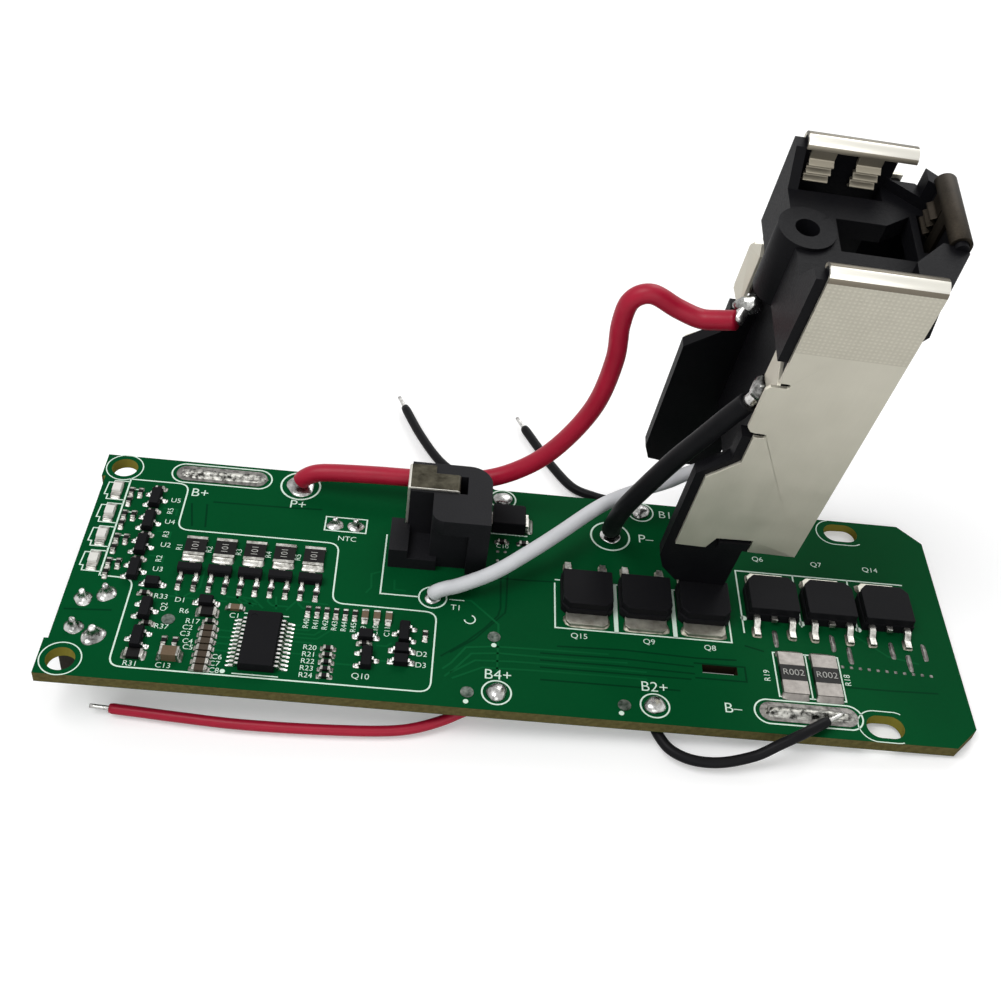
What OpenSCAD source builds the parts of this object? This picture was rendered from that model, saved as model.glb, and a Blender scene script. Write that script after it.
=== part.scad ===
// Battery protection board with an upright terminal tower.
// Millimetres, +Z up. The parts side of the board is z = 0, and the origin lies midway
// between the two round screw holes. Module positions count x from the gauge end of the
// board and y from its long centre line.

/* [Board] */
// Length of the board
board_l = 112; // [110:1:120]
// Width of the board
board_w = 37.4; // [36.6:0.2:40]
// Thickness of the board
board_t = 1.6; // [1.2:0.1:2.2]
// Bevel on the two corners at the power end
corner_bevel = 3; // [1:0.1:5]
// Depth of the long recess in the gauge end
edge_recess = 0.5; // [0.2:0.1:0.9]
// Diameter of the two round screw holes
screw_d = 3.4; // [2.6:0.1:3.8]
// Round screw holes to the gauge end
screw_x = 2.65; // [2.4:0.05:3]
// Distance between the two round screw holes
screw_span = 32.8; // [31.4:0.2:33.4]
// Length of the two slotted holes
slot_l = 4.7; // [3.8:0.1:5.6]
// Width of the two slotted holes
slot_w = 3.3; // [2.6:0.1:3.6]
// Slotted holes to the power end
slot_inset = 11.4; // [9:0.2:13]
// Length of the slots for the cell tabs
cell_slot_l = 10.2; // [8:0.2:11]
// Width of the slots for the cell tabs
cell_slot_w = 1.2; // [0.8:0.1:1.6]
// Height of the solder joints under the board
joint_under = 1.3; // [0.9:0.1:1.8]

/* [Small parts] */
// Distance from one gauge light to the next
gauge_pitch = 4.25; // [3.6:0.05:4.4]
// Distance from one balance resistor to the next
balance_pitch = 3.75; // [3.3:0.05:3.9]
// Length of a balance resistor
balance_l = 3.2; // [2.6:0.1:3.4]
// Width of a balance resistor
balance_w = 2.6; // [2:0.1:3]
// Height of the small chips
chip_h = 0.45; // [0.3:0.05:0.6]
// Width of the controller body
ic_w = 4.2; // [3.6:0.1:4.6]
// Length of the controller body
ic_l = 8.2; // [7.8:0.1:8.8]
// Height of the controller body
ic_h = 1.4; // [1:0.1:2]
// Distance from one controller lead to the next
ic_pitch = 0.63; // [0.5:0.01:0.66]
// Length of a current shunt
shunt_l = 6.4; // [5.6:0.1:7]
// Width of a current shunt
shunt_w = 3.2; // [2.6:0.1:3.6]

/* [Power transistors] */
// Width of a power transistor body
fet_w = 6.6; // [6:0.1:6.9]
// Length of a power transistor body
fet_l = 6.1; // [5.6:0.1:6.4]
// Height of a power transistor body
fet_h = 2.3; // [1.8:0.1:2.8]
// Distance from one power transistor to the next
fet_pitch = 7.5; // [7.2:0.05:7.8]
// Length of tab beyond the body
fet_tab_out = 1.7; // [1.2:0.1:2.2]
// Length of the leads beyond the body
fet_lead_out = 2.7; // [2:0.1:3.2]

/* [Contact holder] */
// Length of the holder along the board
holder_l = 12.5; // [11.4:0.1:13.2]
// Depth of the holder across the board
holder_w = 10.5; // [9.6:0.1:11]
// Height of the holder
holder_h = 9.2; // [8:0.1:11]
// Thickness of the holder roof
holder_roof = 2.4; // [1.6:0.1:3.2]
// Thickness of the holder side wall
holder_wall = 2.6; // [1.6:0.1:3]
// Thickness of the holder clip
clip_t = 0.35; // [0.25:0.05:0.5]

/* [Gauge switch] */
// Width of the switch body along the board edge
switch_w = 6.4; // [5.4:0.1:6.6]
// Height of the switch body under the board
switch_h = 6.2; // [5.6:0.1:7]
// Depth of the switch body
switch_depth = 3.5; // [3.2:0.1:3.8]
// Diameter of the switch plunger
plunger_d = 3.4; // [2.8:0.1:3.8]
// Length of plunger outside the bracket
plunger_out = 1.2; // [1:0.1:4]
// Play round the plunger
plunger_play = 0.2; // [0.15:0.05:0.4]

/* [Terminal tower] */
// Lean of the tower to the front
tower_lean = 10; // [6:0.5:14]
// Roll of the tower to the power end
tower_roll = 2.4; // [1:0.2:4]
// Depth of the tower over both contacts
tower_d = 22; // [20.6:0.2:24]
// Width of the contact plates
plate_w = 15.1; // [14.6:0.1:15.6]
// Width of the contact plates above the step
neck_w = 11.9; // [11.4:0.1:12.4]
// Height of the contact plates
plate_h = 45.3; // [44:0.1:50]
// Thickness of the contact sheet
sheet_t = 0.4; // [0.3:0.05:0.5]
// Thickness of the tower legs
leg_t = 1.6; // [1.2:0.1:2]
// Length of the tower foot below the contact plates
foot_drop = 8.45; // [7:0.05:10]
// Diameter of the screw boss in the tower
boss_d = 6.2; // [5.6:0.1:7]
// Length of the screw boss below the ledges
boss_l = 8.4; // [8:0.2:12]
// Diameter of the blind hole in the boss
boss_bore = 2.6; // [2:0.1:3.2]
// Depth of the blind hole in the boss
boss_depth = 7.5; // [6:0.5:8]

/* [Wires] */
// Diameter of the two power wires
power_wire_d = 2.4; // [2:0.1:3]
// Diameter of the temperature contact wire
signal_wire_d = 1.9; // [1.5:0.1:2.3]
// Diameter of the four cell sense wires
sense_wire_d = 1.3; // [0.9:0.1:1.5]

/* [Hidden] */
$fn = 32;

back_y = board_w / 2;
front_y = -board_w / 2;
under_z = -board_t;

// Slots for the cell tabs, wire holes and pads
plus_slot = [15.6, back_y - 2.3];
minus_slot = [board_l - 20.7, front_y + 3.2];
pack_plus = [26.2, back_y - 2.8];
pack_minus = [68.2, 11.7];
signal_pad = [45.1, -2];
sense_1 = [72.6, back_y - 1.8];
sense_2 = [72.5, front_y + 2.6];
sense_3 = [53.6, back_y - 1.8];
sense_4 = [53.5, front_y + 2.6];
thermistor_pads = [[31.6, 9.2], [34.3, 9.2]];
probe_pads = [[50, front_y + 2.3], [68.8, front_y + 2.3], [53, -7.6], [13.6, -9.2]];
power_hole_r = 1.2;
sense_hole_r = 0.7;
seat_gap = 0.05;

// Gauge lights with their drivers
gauge_count = 4;
led_at = [2.7, 12];
led_size = [2.7, 1.2, 0.4];
led_end = 0.45;

// Balance row
balance_count = 5;
balance_at = [14.65, 2.8];
balance_end = 0.45;
driver_y = -1.1;
bleed_y = -3.5;

// Chips: case sizes and hand-set places [x, y, turn]
tiny = [1.1, 0.55, chip_h];
small = [1.6, 0.8, chip_h];
medium = [2, 1.25, chip_h + 0.1];
chip_end = 0.25;
tiny_resistors = [[10, -5.5, 0], [11.25, -10.2, 0], [13.8, -12.7, 90], [15.1, -12.7, 90],
  [18.6, -9.1, 0], [37.3, -10.5, 0], [44.55, -8.4, 90], [53.6, 8.7, 0], [56.5, 8.7, 0]];
medium_resistors = [[10.75, -15, 0], [18, -7.7, 0]];
tan_capacitors = [[21.2, -6.6, 0]];
big_capacitor = [14.9, -14.8, 0];
big_capacitor_size = [2.2, 1.4, 1.2];
filter_at = [18.6, -10.2];
filter_pitch = 1.02;
filter_count = 7;
ladder_at = [33.1, -11.7];
ladder_pitch = 1.05;
ladder_count = 5;
row_at = [30, -6.1];
row_pitch = 1.15;
row_count = 6;
brown_at = [37, -6.1];
brown_pitch = 1.45;
brown_count = 3;

// Three-lead transistors and two-lead diodes [x, y, turn]
sot_size = [1.3, 2.9, 1.1];
sod_size = [1.7, 1.3, 1];
small_lead_out = 0.55;
gauge_driver_x = 7.95;
gauge_driver_y = 10.7;
loose_transistors = [[10.7, -8.2, 0], [10.7, -12.7, 180], [37.8, -12.9, 0], [42, -8.5, 180]];
loose_diodes = [[10.6, -3.9], [17.6, -6.2], [37.4, -9.4], [41.9, -11.1], [41.9, -12.8]];

// Controller
ic_at = [25.1, -11.9];
ic_leads = 12;
ic_lead_out = 1.2;

// Shunts and power diode
shunt_at = [board_l - 21.9, -9.7];
shunt_pitch = shunt_w + 1;
shunt_h = 0.65;
shunt_end = 2;
diode_at = [54.4, 12];
diode_size = [4.4, 3.6, 2.2];

// Power transistors
fet_count = 3;
fet_first = [64.6, 0];
fet_row_gap = 9.1;
fet_second = [fet_first.x + 2 * fet_pitch + fet_row_gap, 1.9];
fet_tab_w = 5.3;
fet_tab_t = 0.5;
fet_lead_w = 0.76;
fet_lead_gap = 4.57;

// Holder corner nearest the gauge end and the front
holder_at = [39, 2.4];

// Switch
switch_y = -9.3;
pin_row_x = 2.95;
pin_span = 4.5;
pin_d = 0.8;
leg_row_x = 5.5;
bracket_t = 0.25;
leg_span = switch_w + bracket_t;
switch_front = pin_row_x - switch_depth / 2;
plunger_z = under_z - switch_h / 2 - 0.2;
flange_d = plunger_d + 1;
flange_t = 0.7;
flange_gap = 0.05;

// Tower frame: w to the right, d to the back, u up from the foot
rest_gap = 0.05;
rest_on = [fet_first.x + 2 * fet_pitch + 2.65, fet_first.y + 2.4, fet_h + rest_gap];
foot_w = 8.6;
lip = 1.1;
step_w = plate_w - neck_w;
step_u = foot_drop + 13.7;
step_rise = 3.3;
bend_u = foot_drop + plate_h;
cap_low = bend_u - 6;
ledge_u = bend_u - 3.6;
inner_front = sheet_t + leg_t;
inner_back = tower_d - sheet_t - leg_t;
side_wall_w = plate_w + 1.9;
tab_low = foot_drop + 22;
tab_high = tab_low + 8.35;
tab_reach = 4.6;
notch_high = tab_high + 3;
back_lip = lip + 0.6;
boss_at = [3.5, tower_d / 2 + 0.3];
web_w = 5.4;
web_t = 1.5;
web_low = 12.8;

// Cap: slots for the spring leaves, and the well between two ledges
leaf_slot_w = neck_w - 2.7;
leaf_slot_d = 2.4;
well_front = boss_at.y - 2.4;
well_back = boss_at.y + 2.5;
well_right = plate_w;
corner_d = 6.9;
back_corner_d = tower_d - 4.8;
apron_h = 7.4;
apron_flare = 0.9;
boss_rise = 0.4;
leaf_w = 2.7;
side_leaf = [13, 15.6];
side_tail = [10.9, 12.8];
solder_r = 1.5;

// Wire routes: x from the gauge end, y from the centre line
positive_route = [[26.2, 15.9, 0.9], [26.8, 15.9, 1.7], [28.2, 15.9, 2.6], [30.4, 15.8, 3.1],
  [36, 15.6, 3.6], [43, 15.5, 3.9], [50.5, 15.5, 4.8], [56, 15.4, 8], [60, 15.3, 12.8],
  [63.2, 15.1, 19.6], [64.4, 14.9, 27], [64.2, 14.7, 32.6], [64.8, 14.5, 36.2], [67, 14.3, 37.5],
  [70.3, 14.1, 36], [73, 13.4, 35.4], [75.1, 12.6, 36], [76.9, 11.8, 36.8]];
negative_route = [[68.2, 11.7, 0.9], [68.2, 11.5, 2], [67.7, 9.8, 3.5], [68.1, 6.8, 10.1],
  [69.7, 4.4, 16.6], [71.8, 2.8, 22.5], [73.7, 1.6, 26.9], [75.5, 0.4, 31.2], [76.7, -0.3, 33.8],
  [77.2, -0.6, 34.9]];
signal_route = [[45.1, -2, 0.6], [45.5, -2, 1.2], [46.6, -1.8, 1.7], [48.4, -1.2, 1.9],
  [52.6, 0.6, 2.9], [56.9, 3.6, 4], [60.7, 7, 4.5], [65.2, 11.4, 4.9], [68.1, 13.6, 5.2],
  [71.3, 14.4, 6.5], [74.5, 14.2, 8.6], [76.5, 13.6, 10.8], [80.5, 12.6, 14.3], [83.4, 11.8, 16.2],
  [86.6, 10.7, 20], [88.6, 9.6, 25.6], [89.6, 8, 33.6], [90.2, 6.7, 40.6], [90.8, 6.3, 46.2]];
sense_1_route = [[72.6, 17.4, -2.3], [72, 19.2, -2.3], [70, 20.8, -2.3], [66.8, 21.6, -2.3],
  [63.6, 23.4, -2.5], [60.6, 27.8, -2.6], [58.6, 31.6, -2.6], [56.7, 35.3, -2.6]];
sense_2_route = [[72.6, -16.6, -2.4], [73.2, -18.4, -2.5], [74.6, -20.4, -2.6], [77.2, -21.6, -2.6],
  [80.6, -21.8, -2.3], [84.4, -21.2, -1.3], [87, -20.4, 0.1], [89.6, -19.3, 1],
  [93.1, -17.1, 1.1]];
sense_3_route = [[53.6, 17.4, -2.3], [53.2, 19.4, -2.4], [51.6, 21.2, -2.6], [48.4, 23.4, -2.9],
  [44.8, 26.8, -3.2], [41.6, 32.2, -3.3], [38.8, 38.3, -3.3]];
sense_4_route = [[53, -16.2, -2.4], [50.6, -16.6, -3], [47.2, -17.8, -4.2], [43.8, -18.8, -4.8],
  [40.2, -19.2, -5.2], [34.4, -19.4, -5.5], [28.4, -19.4, -5.8], [22.4, -19.2, -6.1],
  [16.5, -18.7, -6.4], [11.8, -18.2, -6.7], [8, -17.9, -6.8]];
tip_l = 2.6;
tip_d = sense_wire_d * 0.55;

// Shared shapes
module on_board() {
  translate([-screw_x, 0, 0]) children();
}

module at(p) {
  translate([p.x, p.y, 0]) rotate([0, 0, len(p) > 2 ? p.z : 0]) children();
}

module stadium(l, w) {
  square([l - w, w], center = true);
  for (s = [-1, 1]) translate([s * (l - w) / 2, 0]) circle(d = w);
}

// Body of a chip between its two end caps, lying along x
module chip_core(s, cap) {
  translate([-s.x / 2 + cap, -s.y / 2, 0]) cube([s.x - 2 * cap, s.y, s.z - 0.03]);
}

module chip_caps(s, cap) {
  for (k = [-1, 1])
    translate([k * (s.x - cap) / 2 - cap / 2, -s.y / 2, 0]) cube([cap, s.y, s.z]);
}

// Gull-wing lead running out along +x from x = 0
module gull(reach, exit, t, w) {
  rotate([90, 0, 0]) translate([0, 0, -w / 2]) linear_extrude(w) polygon([
    [0, exit], [reach * 0.2, exit], [reach * 0.45, 0], [reach, 0], [reach, t],
    [reach * 0.6, t], [reach * 0.36, exit + t], [0, exit + t]]);
}

// Moulded body with straight sides and a bevelled top, s = [x, y, top]
module moulded(s, lift, bevel) {
  rotate([90, 0, 0]) translate([0, 0, -s.y / 2]) linear_extrude(s.y) polygon([
    [-s.x / 2, lift], [s.x / 2, lift], [s.x / 2, s.z - bevel * 1.5], [s.x / 2 - bevel, s.z],
    [-s.x / 2 + bevel, s.z], [-s.x / 2, s.z - bevel * 1.5]]);
}

// Round joint: dome on the board, plug in the hole, bump below
module joint(hole_r, dome_r, dome_h, flat_r) {
  rotate_extrude() polygon([[0, dome_h], [flat_r, dome_h], [flat_r + (dome_r - flat_r) * 0.4, dome_h * 0.35],
    [dome_r, 0], [hole_r - seat_gap, 0], [hole_r - seat_gap, under_z], [hole_r + 0.7, under_z],
    [hole_r + 0.4, under_z - joint_under * 0.6], [hole_r * 0.4, under_z - joint_under],
    [0, under_z - joint_under]]);
}

// Places of everything that repeats
function gauge_y(i, first) = first - gauge_pitch * i;
function balance_x(i) = balance_at.x + balance_pitch * i;
function fet_place(i) = i < fet_count ? [fet_first.x + fet_pitch * i, fet_first.y, 0]
  : [fet_second.x + fet_pitch * (i - fet_count), fet_second.y, 180];
function sot_places() = concat(
  [for (i = [0:gauge_count - 1]) [gauge_driver_x, gauge_y(i, gauge_driver_y), 0]],
  [for (i = [0:balance_count - 1]) [balance_x(i), driver_y, 90]],
  loose_transistors);
function tiny_places() = concat(tiny_resistors,
  [for (i = [0:gauge_count - 1]) each [[4.6, gauge_y(i, 11.8), 90], [4.6, gauge_y(i, 10.1), 90],
    [5.75, gauge_y(i, 11.8), 90], [gauge_driver_x + 0.1, gauge_y(i, gauge_driver_y + 2.1), 0]]],
  [for (i = [0:balance_count - 1], k = [-1, 1]) [balance_x(i) + k * 0.95, bleed_y, 90]],
  [for (i = [0:ladder_count - 1]) [ladder_at.x, ladder_at.y - ladder_pitch * i, 0]],
  [for (i = [0:row_count - 1]) [row_at.x + row_pitch * i, row_at.y, 90]]);
function brown_places() = [for (i = [0:brown_count - 1]) [brown_at.x + brown_pitch * i, brown_at.y, 90]];
function tan_places() = concat(tan_capacitors,
  [for (i = [0:filter_count - 1]) [filter_at.x, filter_at.y - filter_pitch * i, 0]]);

// Board
module circuit_board() {
  color("darkgreen") on_board() difference() {
    translate([0, 0, under_z]) linear_extrude(board_t) difference() {
      polygon([[0, front_y], [board_l - corner_bevel, front_y], [board_l, front_y + corner_bevel],
        [board_l, back_y - corner_bevel], [board_l - corner_bevel, back_y], [0, back_y]]);
      translate([-1, front_y + 5.2]) square([1 + edge_recess, board_w - 9.4]);
      for (s = [-1, 1]) {
        translate([board_l - slot_inset, s * screw_span / 2]) stadium(slot_l, slot_w);
      }
      translate([board_l - 33.2, front_y + 8.3]) square([4.4, 1.4]);
      translate(plus_slot) stadium(cell_slot_l, cell_slot_w);
      translate(minus_slot) stadium(cell_slot_l, cell_slot_w);
    }
    for (s = [-1, 1]) translate([screw_x, s * screw_span / 2, under_z - 1])
      cylinder(d = screw_d, h = board_t + 2);
    for (p = [pack_plus, pack_minus]) translate([p.x, p.y, under_z - 1])
      cylinder(r = power_hole_r, h = board_t + 2);
    for (p = [signal_pad, sense_1, sense_2, sense_3, sense_4]) translate([p.x, p.y, under_z - 1])
      cylinder(r = sense_hole_r, h = board_t + 2);
    for (s = [-1, 1]) {
      translate([pin_row_x, switch_y + s * pin_span / 2, under_z - 1])
        cylinder(d = pin_d + 0.2, h = board_t + 2);
      translate([leg_row_x, switch_y + s * leg_span / 2, under_z - 1])
        cylinder(d = pin_d + 0.4, h = board_t + 2);
    }
  }
}

module cell_slot_solder() {
  color("silver") on_board() for (p = [plus_slot, minus_slot]) translate([p.x, p.y, 0]) {
    linear_extrude(0.08) stadium(cell_slot_l + 1.9, cell_slot_w + 1.6);
    linear_extrude(0.3) stadium(cell_slot_l, cell_slot_w);
    translate([0, 0, under_z]) linear_extrude(board_t) stadium(cell_slot_l - 0.1, cell_slot_w - 0.1);
    translate([0, 0, under_z - joint_under]) linear_extrude(joint_under) stadium(cell_slot_l - 1, cell_slot_w + 0.6);
  }
}

module wire_joints() {
  color("silver") on_board() {
    for (p = [pack_plus, pack_minus]) translate(p) joint(power_hole_r, 2.2, 0.9, 1.6);
    translate(signal_pad) joint(sense_hole_r, 1.4, 0.6, 1.1);
    for (p = [sense_1, sense_2, sense_3, sense_4]) translate(p) joint(sense_hole_r, 1.35, 0.9, 0.45);
  }
}

// Solder cones with tinned tips, over the switch pins and the thermistor leads
module pin_joints() {
  color("silver") on_board() {
    for (s = [-1, 1]) {
      translate([pin_row_x, switch_y + s * pin_span / 2]) pin_cone(1.1, 1.1, 0.4);
      translate([leg_row_x, switch_y + s * leg_span / 2]) pin_cone(1.25, 1.3, 0.45);
    }
    for (p = thermistor_pads) translate(p) pin_cone(1.1, 1.2, 0.35);
  }
}

module pin_cone(r, h, tip) {
  rotate_extrude() polygon([[0, 0], [r, 0], [r * 0.6, h * 0.3], [tip, h * 0.75], [tip * 0.8, h],
    [tip * 0.7, h + 0.5], [0, h + 0.5]]);
}

module test_pads() {
  color("silver") on_board() for (p = probe_pads) translate(p) cylinder(r = 0.8, h = 0.08);
}

// Gauge lights
module led_bodies() {
  color("ivory") on_board() for (i = [0:gauge_count - 1])
    translate([led_at.x, gauge_y(i, led_at.y), 0]) rotate([0, 0, 90]) chip_core(led_size, led_end);
}

module led_lenses() {
  lens = [led_size.x - 2 * led_end - 0.3, led_size.y - 0.1, 0.4];
  color("mistyrose") on_board() for (i = [0:gauge_count - 1])
    translate([led_at.x, gauge_y(i, led_at.y), led_size.z - 0.03]) rotate([0, 0, 90])
      moulded(lens, 0, 0.1);
}

module led_terminals() {
  color("silver") on_board() for (i = [0:gauge_count - 1])
    translate([led_at.x, gauge_y(i, led_at.y), 0]) rotate([0, 0, 90]) chip_caps(led_size, led_end);
}

// Small transistors and diodes
module transistor_bodies() {
  color("dimgray") on_board() {
    for (p = sot_places()) at(p) moulded(sot_size, 0.1, 0.15);
    for (p = loose_diodes) at(p) moulded(sod_size, 0.1, 0.12);
  }
}

module transistor_leads() {
  color("silver") on_board() {
    for (p = sot_places()) at(p) {
      for (s = [-1, 1]) translate([-sot_size.x / 2, s * 0.95, 0]) mirror([1, 0, 0])
        gull(small_lead_out, 0.4, 0.15, 0.42);
      translate([sot_size.x / 2, 0, 0]) gull(small_lead_out, 0.4, 0.15, 0.42);
    }
    for (p = loose_diodes) at(p) for (s = [0, 1]) mirror([s, 0, 0])
      translate([sod_size.x / 2, 0, 0]) gull(small_lead_out, 0.4, 0.15, 0.5);
  }
}

// Chips
module chip_resistors() {
  color("black") on_board() {
    for (p = tiny_places()) at(p) chip_core(tiny, chip_end);
    for (p = medium_resistors) at(p) chip_core(medium, chip_end);
  }
}

module chip_capacitors() {
  color("tan") on_board() {
    for (p = brown_places()) at(p) chip_core(small, chip_end);
    for (p = tan_places()) at(p) chip_core(small, chip_end);
    at(big_capacitor) chip_core(big_capacitor_size, chip_end);
  }
}

module chip_ends() {
  color("silver") on_board() {
    for (p = tiny_places()) at(p) chip_caps(tiny, chip_end);
    for (p = medium_resistors) at(p) chip_caps(medium, chip_end);
    for (p = brown_places()) at(p) chip_caps(small, chip_end);
    for (p = tan_places()) at(p) chip_caps(small, chip_end);
    at(big_capacitor) chip_caps(big_capacitor_size, chip_end);
  }
}

module balance_resistors() {
  color("black") on_board() for (i = [0:balance_count - 1])
    translate([balance_x(i), balance_at.y, 0]) rotate([0, 0, 90])
      chip_core([balance_l, balance_w, 0.6], balance_end);
}

module balance_terminals() {
  color("silver") on_board() for (i = [0:balance_count - 1])
    translate([balance_x(i), balance_at.y, 0]) rotate([0, 0, 90])
      chip_caps([balance_l, balance_w, 0.6], balance_end);
}

// Controller
module controller_body() {
  color("dimgray") on_board() translate([ic_at.x, ic_at.y, 0]) difference() {
    moulded([ic_w, ic_l, ic_h], 0.1, 0.18);
    translate([-ic_w / 2 + 0.9, ic_l / 2 - 0.9, ic_h - 0.05]) cylinder(r = 0.4, h = 1);
  }
}

module controller_leads() {
  color("silver") on_board() translate([ic_at.x, ic_at.y, 0])
    for (s = [0, 1], i = [0:ic_leads - 1]) mirror([s, 0, 0])
      translate([ic_w / 2, (i - (ic_leads - 1) / 2) * ic_pitch, 0]) gull(ic_lead_out, 0.5, 0.15, 0.28);
}

// Shunts
module shunt_bodies() {
  color("black") on_board() for (i = [0, 1])
    translate([shunt_at.x + shunt_pitch * i, shunt_at.y, 0]) rotate([0, 0, 90])
      chip_core([shunt_l, shunt_w, shunt_h], shunt_end);
}

module shunt_terminals() {
  color("silver") on_board() for (i = [0, 1])
    translate([shunt_at.x + shunt_pitch * i, shunt_at.y, 0]) rotate([0, 0, 90])
      chip_caps([shunt_l, shunt_w, shunt_h], shunt_end);
}

// Power diode
module power_diode() {
  color("dimgray") on_board() translate([diode_at.x, diode_at.y, 0]) moulded(diode_size, 0.2, 0.2);
}

module power_diode_terminals() {
  out = diode_size.x / 2;
  color("silver") on_board() translate([diode_at.x, diode_at.y, 0]) for (s = [0, 1]) mirror([s, 0, 0])
    rotate([90, 0, 0]) translate([0, 0, -1.1]) linear_extrude(2.2) polygon([[out, 1.2], [out + 0.4, 1.2],
      [out + 0.4, 0], [out - 1.1, 0], [out - 1.1, 0.2], [out, 0.2]]);
}

// Power transistors: leads along +y, tab along -y
module fet_outline(inset) {
  x = fet_w / 2 - inset;
  y = fet_l / 2 - inset;
  polygon([[-x, y], [x, y], [x, -y + 0.9], [x - 0.8, -y], [-x + 0.8, -y], [-x, -y + 0.9]]);
}

module fet_bodies() {
  color("dimgray") on_board() for (i = [0:2 * fet_count - 1]) at(fet_place(i)) difference() {
    union() {
      linear_extrude(fet_h * 0.55) fet_outline(0);
      linear_extrude(fet_h) fet_outline(0.14);
    }
    translate([-fet_tab_w / 2, -fet_l, -1]) cube([fet_tab_w, fet_l * 1.25, 1 + fet_tab_t]);
  }
}

module fet_tabs() {
  front = -fet_l / 2 - fet_tab_out;
  x = fet_tab_w / 2;
  color("silver") on_board() for (i = [0:2 * fet_count - 1]) at(fet_place(i)) linear_extrude(fet_tab_t)
    polygon([[-x, fet_l * 0.25], [x, fet_l * 0.25], [x, front + 0.5], [x - 0.5, front],
      [-x + 0.5, front], [-x, front + 0.5]]);
}

module fet_leads() {
  color("silver") on_board() for (i = [0:2 * fet_count - 1]) at(fet_place(i)) translate([0, fet_l / 2, 0]) {
    for (s = [-1, 1]) translate([s * fet_lead_gap / 2, 0, 0]) rotate([0, 0, 90])
      gull(fet_lead_out, fet_h * 0.3, 0.5, fet_lead_w);
    translate([-fet_lead_w / 2, 0, fet_h * 0.3]) cube([fet_lead_w, 0.7, 0.5]);
  }
}

// Contact holder: x from its left end, y from its front
clip_gap = 0.4;
clip_x = 2.1;
clip_y = 5;
clip_w = 4.4;
tongue_x = 5.2;
tongue_w = 3;
clip_end = 8.4;
clip_slot = 1;
column_w = 3;
clip_tail = 1.2;
holder_low = 3.2;
holder_step = 1.4;
holder_recess = 1;

module holder_roof_plan() {
  difference() {
    union() {
      translate([clip_x, clip_y]) square([holder_l - clip_x, holder_w - clip_y]);
      translate([clip_x + column_w, 0]) square([holder_l - clip_x - column_w, holder_w]);
    }
    translate([clip_x + column_w, 0]) difference() {
      translate([-1, -1]) square(2.6);
      translate([1.6, 1.6]) circle(1.6);
    }
    translate([holder_l, holder_w]) difference() {
      translate([-3, -3]) square(4);
      translate([-3, -3]) circle(3);
    }
  }
}

module contact_holder() {
  color("#202020") on_board() translate([holder_at.x, holder_at.y, 0]) difference() {
    union() {
      translate([0, 0, holder_h - holder_roof]) linear_extrude(holder_roof) holder_roof_plan();
      intersection() {
        linear_extrude(holder_h) holder_roof_plan();
        union() {
          translate([holder_l - holder_wall, 0, 0]) cube([holder_wall, holder_w, holder_h]);
          translate([0, holder_w - 1.6, 0]) cube([holder_l, 1.6, holder_h]);
          translate([clip_x, clip_y, 0]) cube([column_w, holder_w - clip_y, holder_h]);
          translate([clip_x + column_w - 0.1, holder_recess, 0])
            cube([holder_l - clip_x - column_w, holder_w - holder_recess, holder_h]);
        }
      }
      translate([0, 0.2, 0]) cube([clip_x + 0.3, clip_y + 0.8, holder_low]);
      translate([0, 0.2, 0]) cube([clip_x + column_w + 1, clip_y + 0.8, holder_low - holder_step]);
    }
    translate([clip_x - clip_t - 0.05, clip_y + 0.2, -1]) cube([clip_t + 0.05, 5, holder_low + 2]);
    translate([clip_end - clip_t - 0.05, clip_y + 0.2, holder_h - holder_roof - clip_tail - 0.2])
      cube([clip_t + clip_slot, tongue_w + 0.2, holder_roof + clip_tail + 1]);
  }
}

// Bent sheet seen from the front, extruded across the board
module holder_clip() {
  color("#c8c2b4") on_board() translate([holder_at.x, holder_at.y, 0]) {
    translate([0, clip_y + 0.3 + clip_w, 0]) rotate([90, 0, 0]) linear_extrude(clip_w) {
      translate([clip_x - clip_t, 0.1]) square([clip_t, holder_h - 0.1]);
      translate([clip_x, holder_h]) intersection() {
        circle(clip_t);
        translate([-clip_t, 0]) square(clip_t);
      }
      translate([clip_x, holder_h]) square([tongue_x - clip_x, clip_t]);
    }
    translate([0, clip_y + 0.3 + tongue_w, 0]) rotate([90, 0, 0]) linear_extrude(tongue_w) {
      translate([tongue_x, holder_h]) square([clip_end - clip_t - tongue_x, clip_t]);
      translate([clip_end - clip_t, holder_h]) intersection() {
        circle(clip_t);
        square(clip_t);
      }
      translate([clip_end - clip_t, holder_h - holder_roof - clip_tail]) square([clip_t, holder_roof + clip_tail]);
    }
  }
}

// Gauge switch under the board, plunger along -x
module switch_body() {
  color("#303030") on_board() difference() {
    translate([switch_front, switch_y - switch_w / 2, under_z - switch_h])
      cube([switch_depth, switch_w, switch_h]);
    translate([switch_front - 1, switch_y, plunger_z]) rotate([0, 90, 0])
      cylinder(d = flange_d + 2 * plunger_play, h = 2.2);
  }
}

module switch_bracket() {
  arm = leg_row_x + 0.4 - switch_front + bracket_t;
  color("silver") on_board() {
    difference() {
      translate([switch_front - bracket_t, switch_y - switch_w / 2 - bracket_t, under_z - switch_h])
        cube([bracket_t, switch_w + 2 * bracket_t, switch_h]);
      translate([switch_front - 1, switch_y, plunger_z]) rotate([0, 90, 0])
        cylinder(d = plunger_d + 2 * plunger_play, h = 2);
    }
    for (s = [-1, 1]) translate([switch_front - bracket_t, switch_y + s * leg_span / 2 - bracket_t / 2, 0]) {
      translate([0, 0, under_z - switch_h]) cube([bracket_t + switch_depth, bracket_t, switch_h]);
      translate([0, 0, under_z - 2.4]) cube([arm, bracket_t, 2.4]);
      translate([arm - 0.8, 0, under_z - 1]) cube([0.8, bracket_t, board_t + 1]);
    }
  }
}

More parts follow.
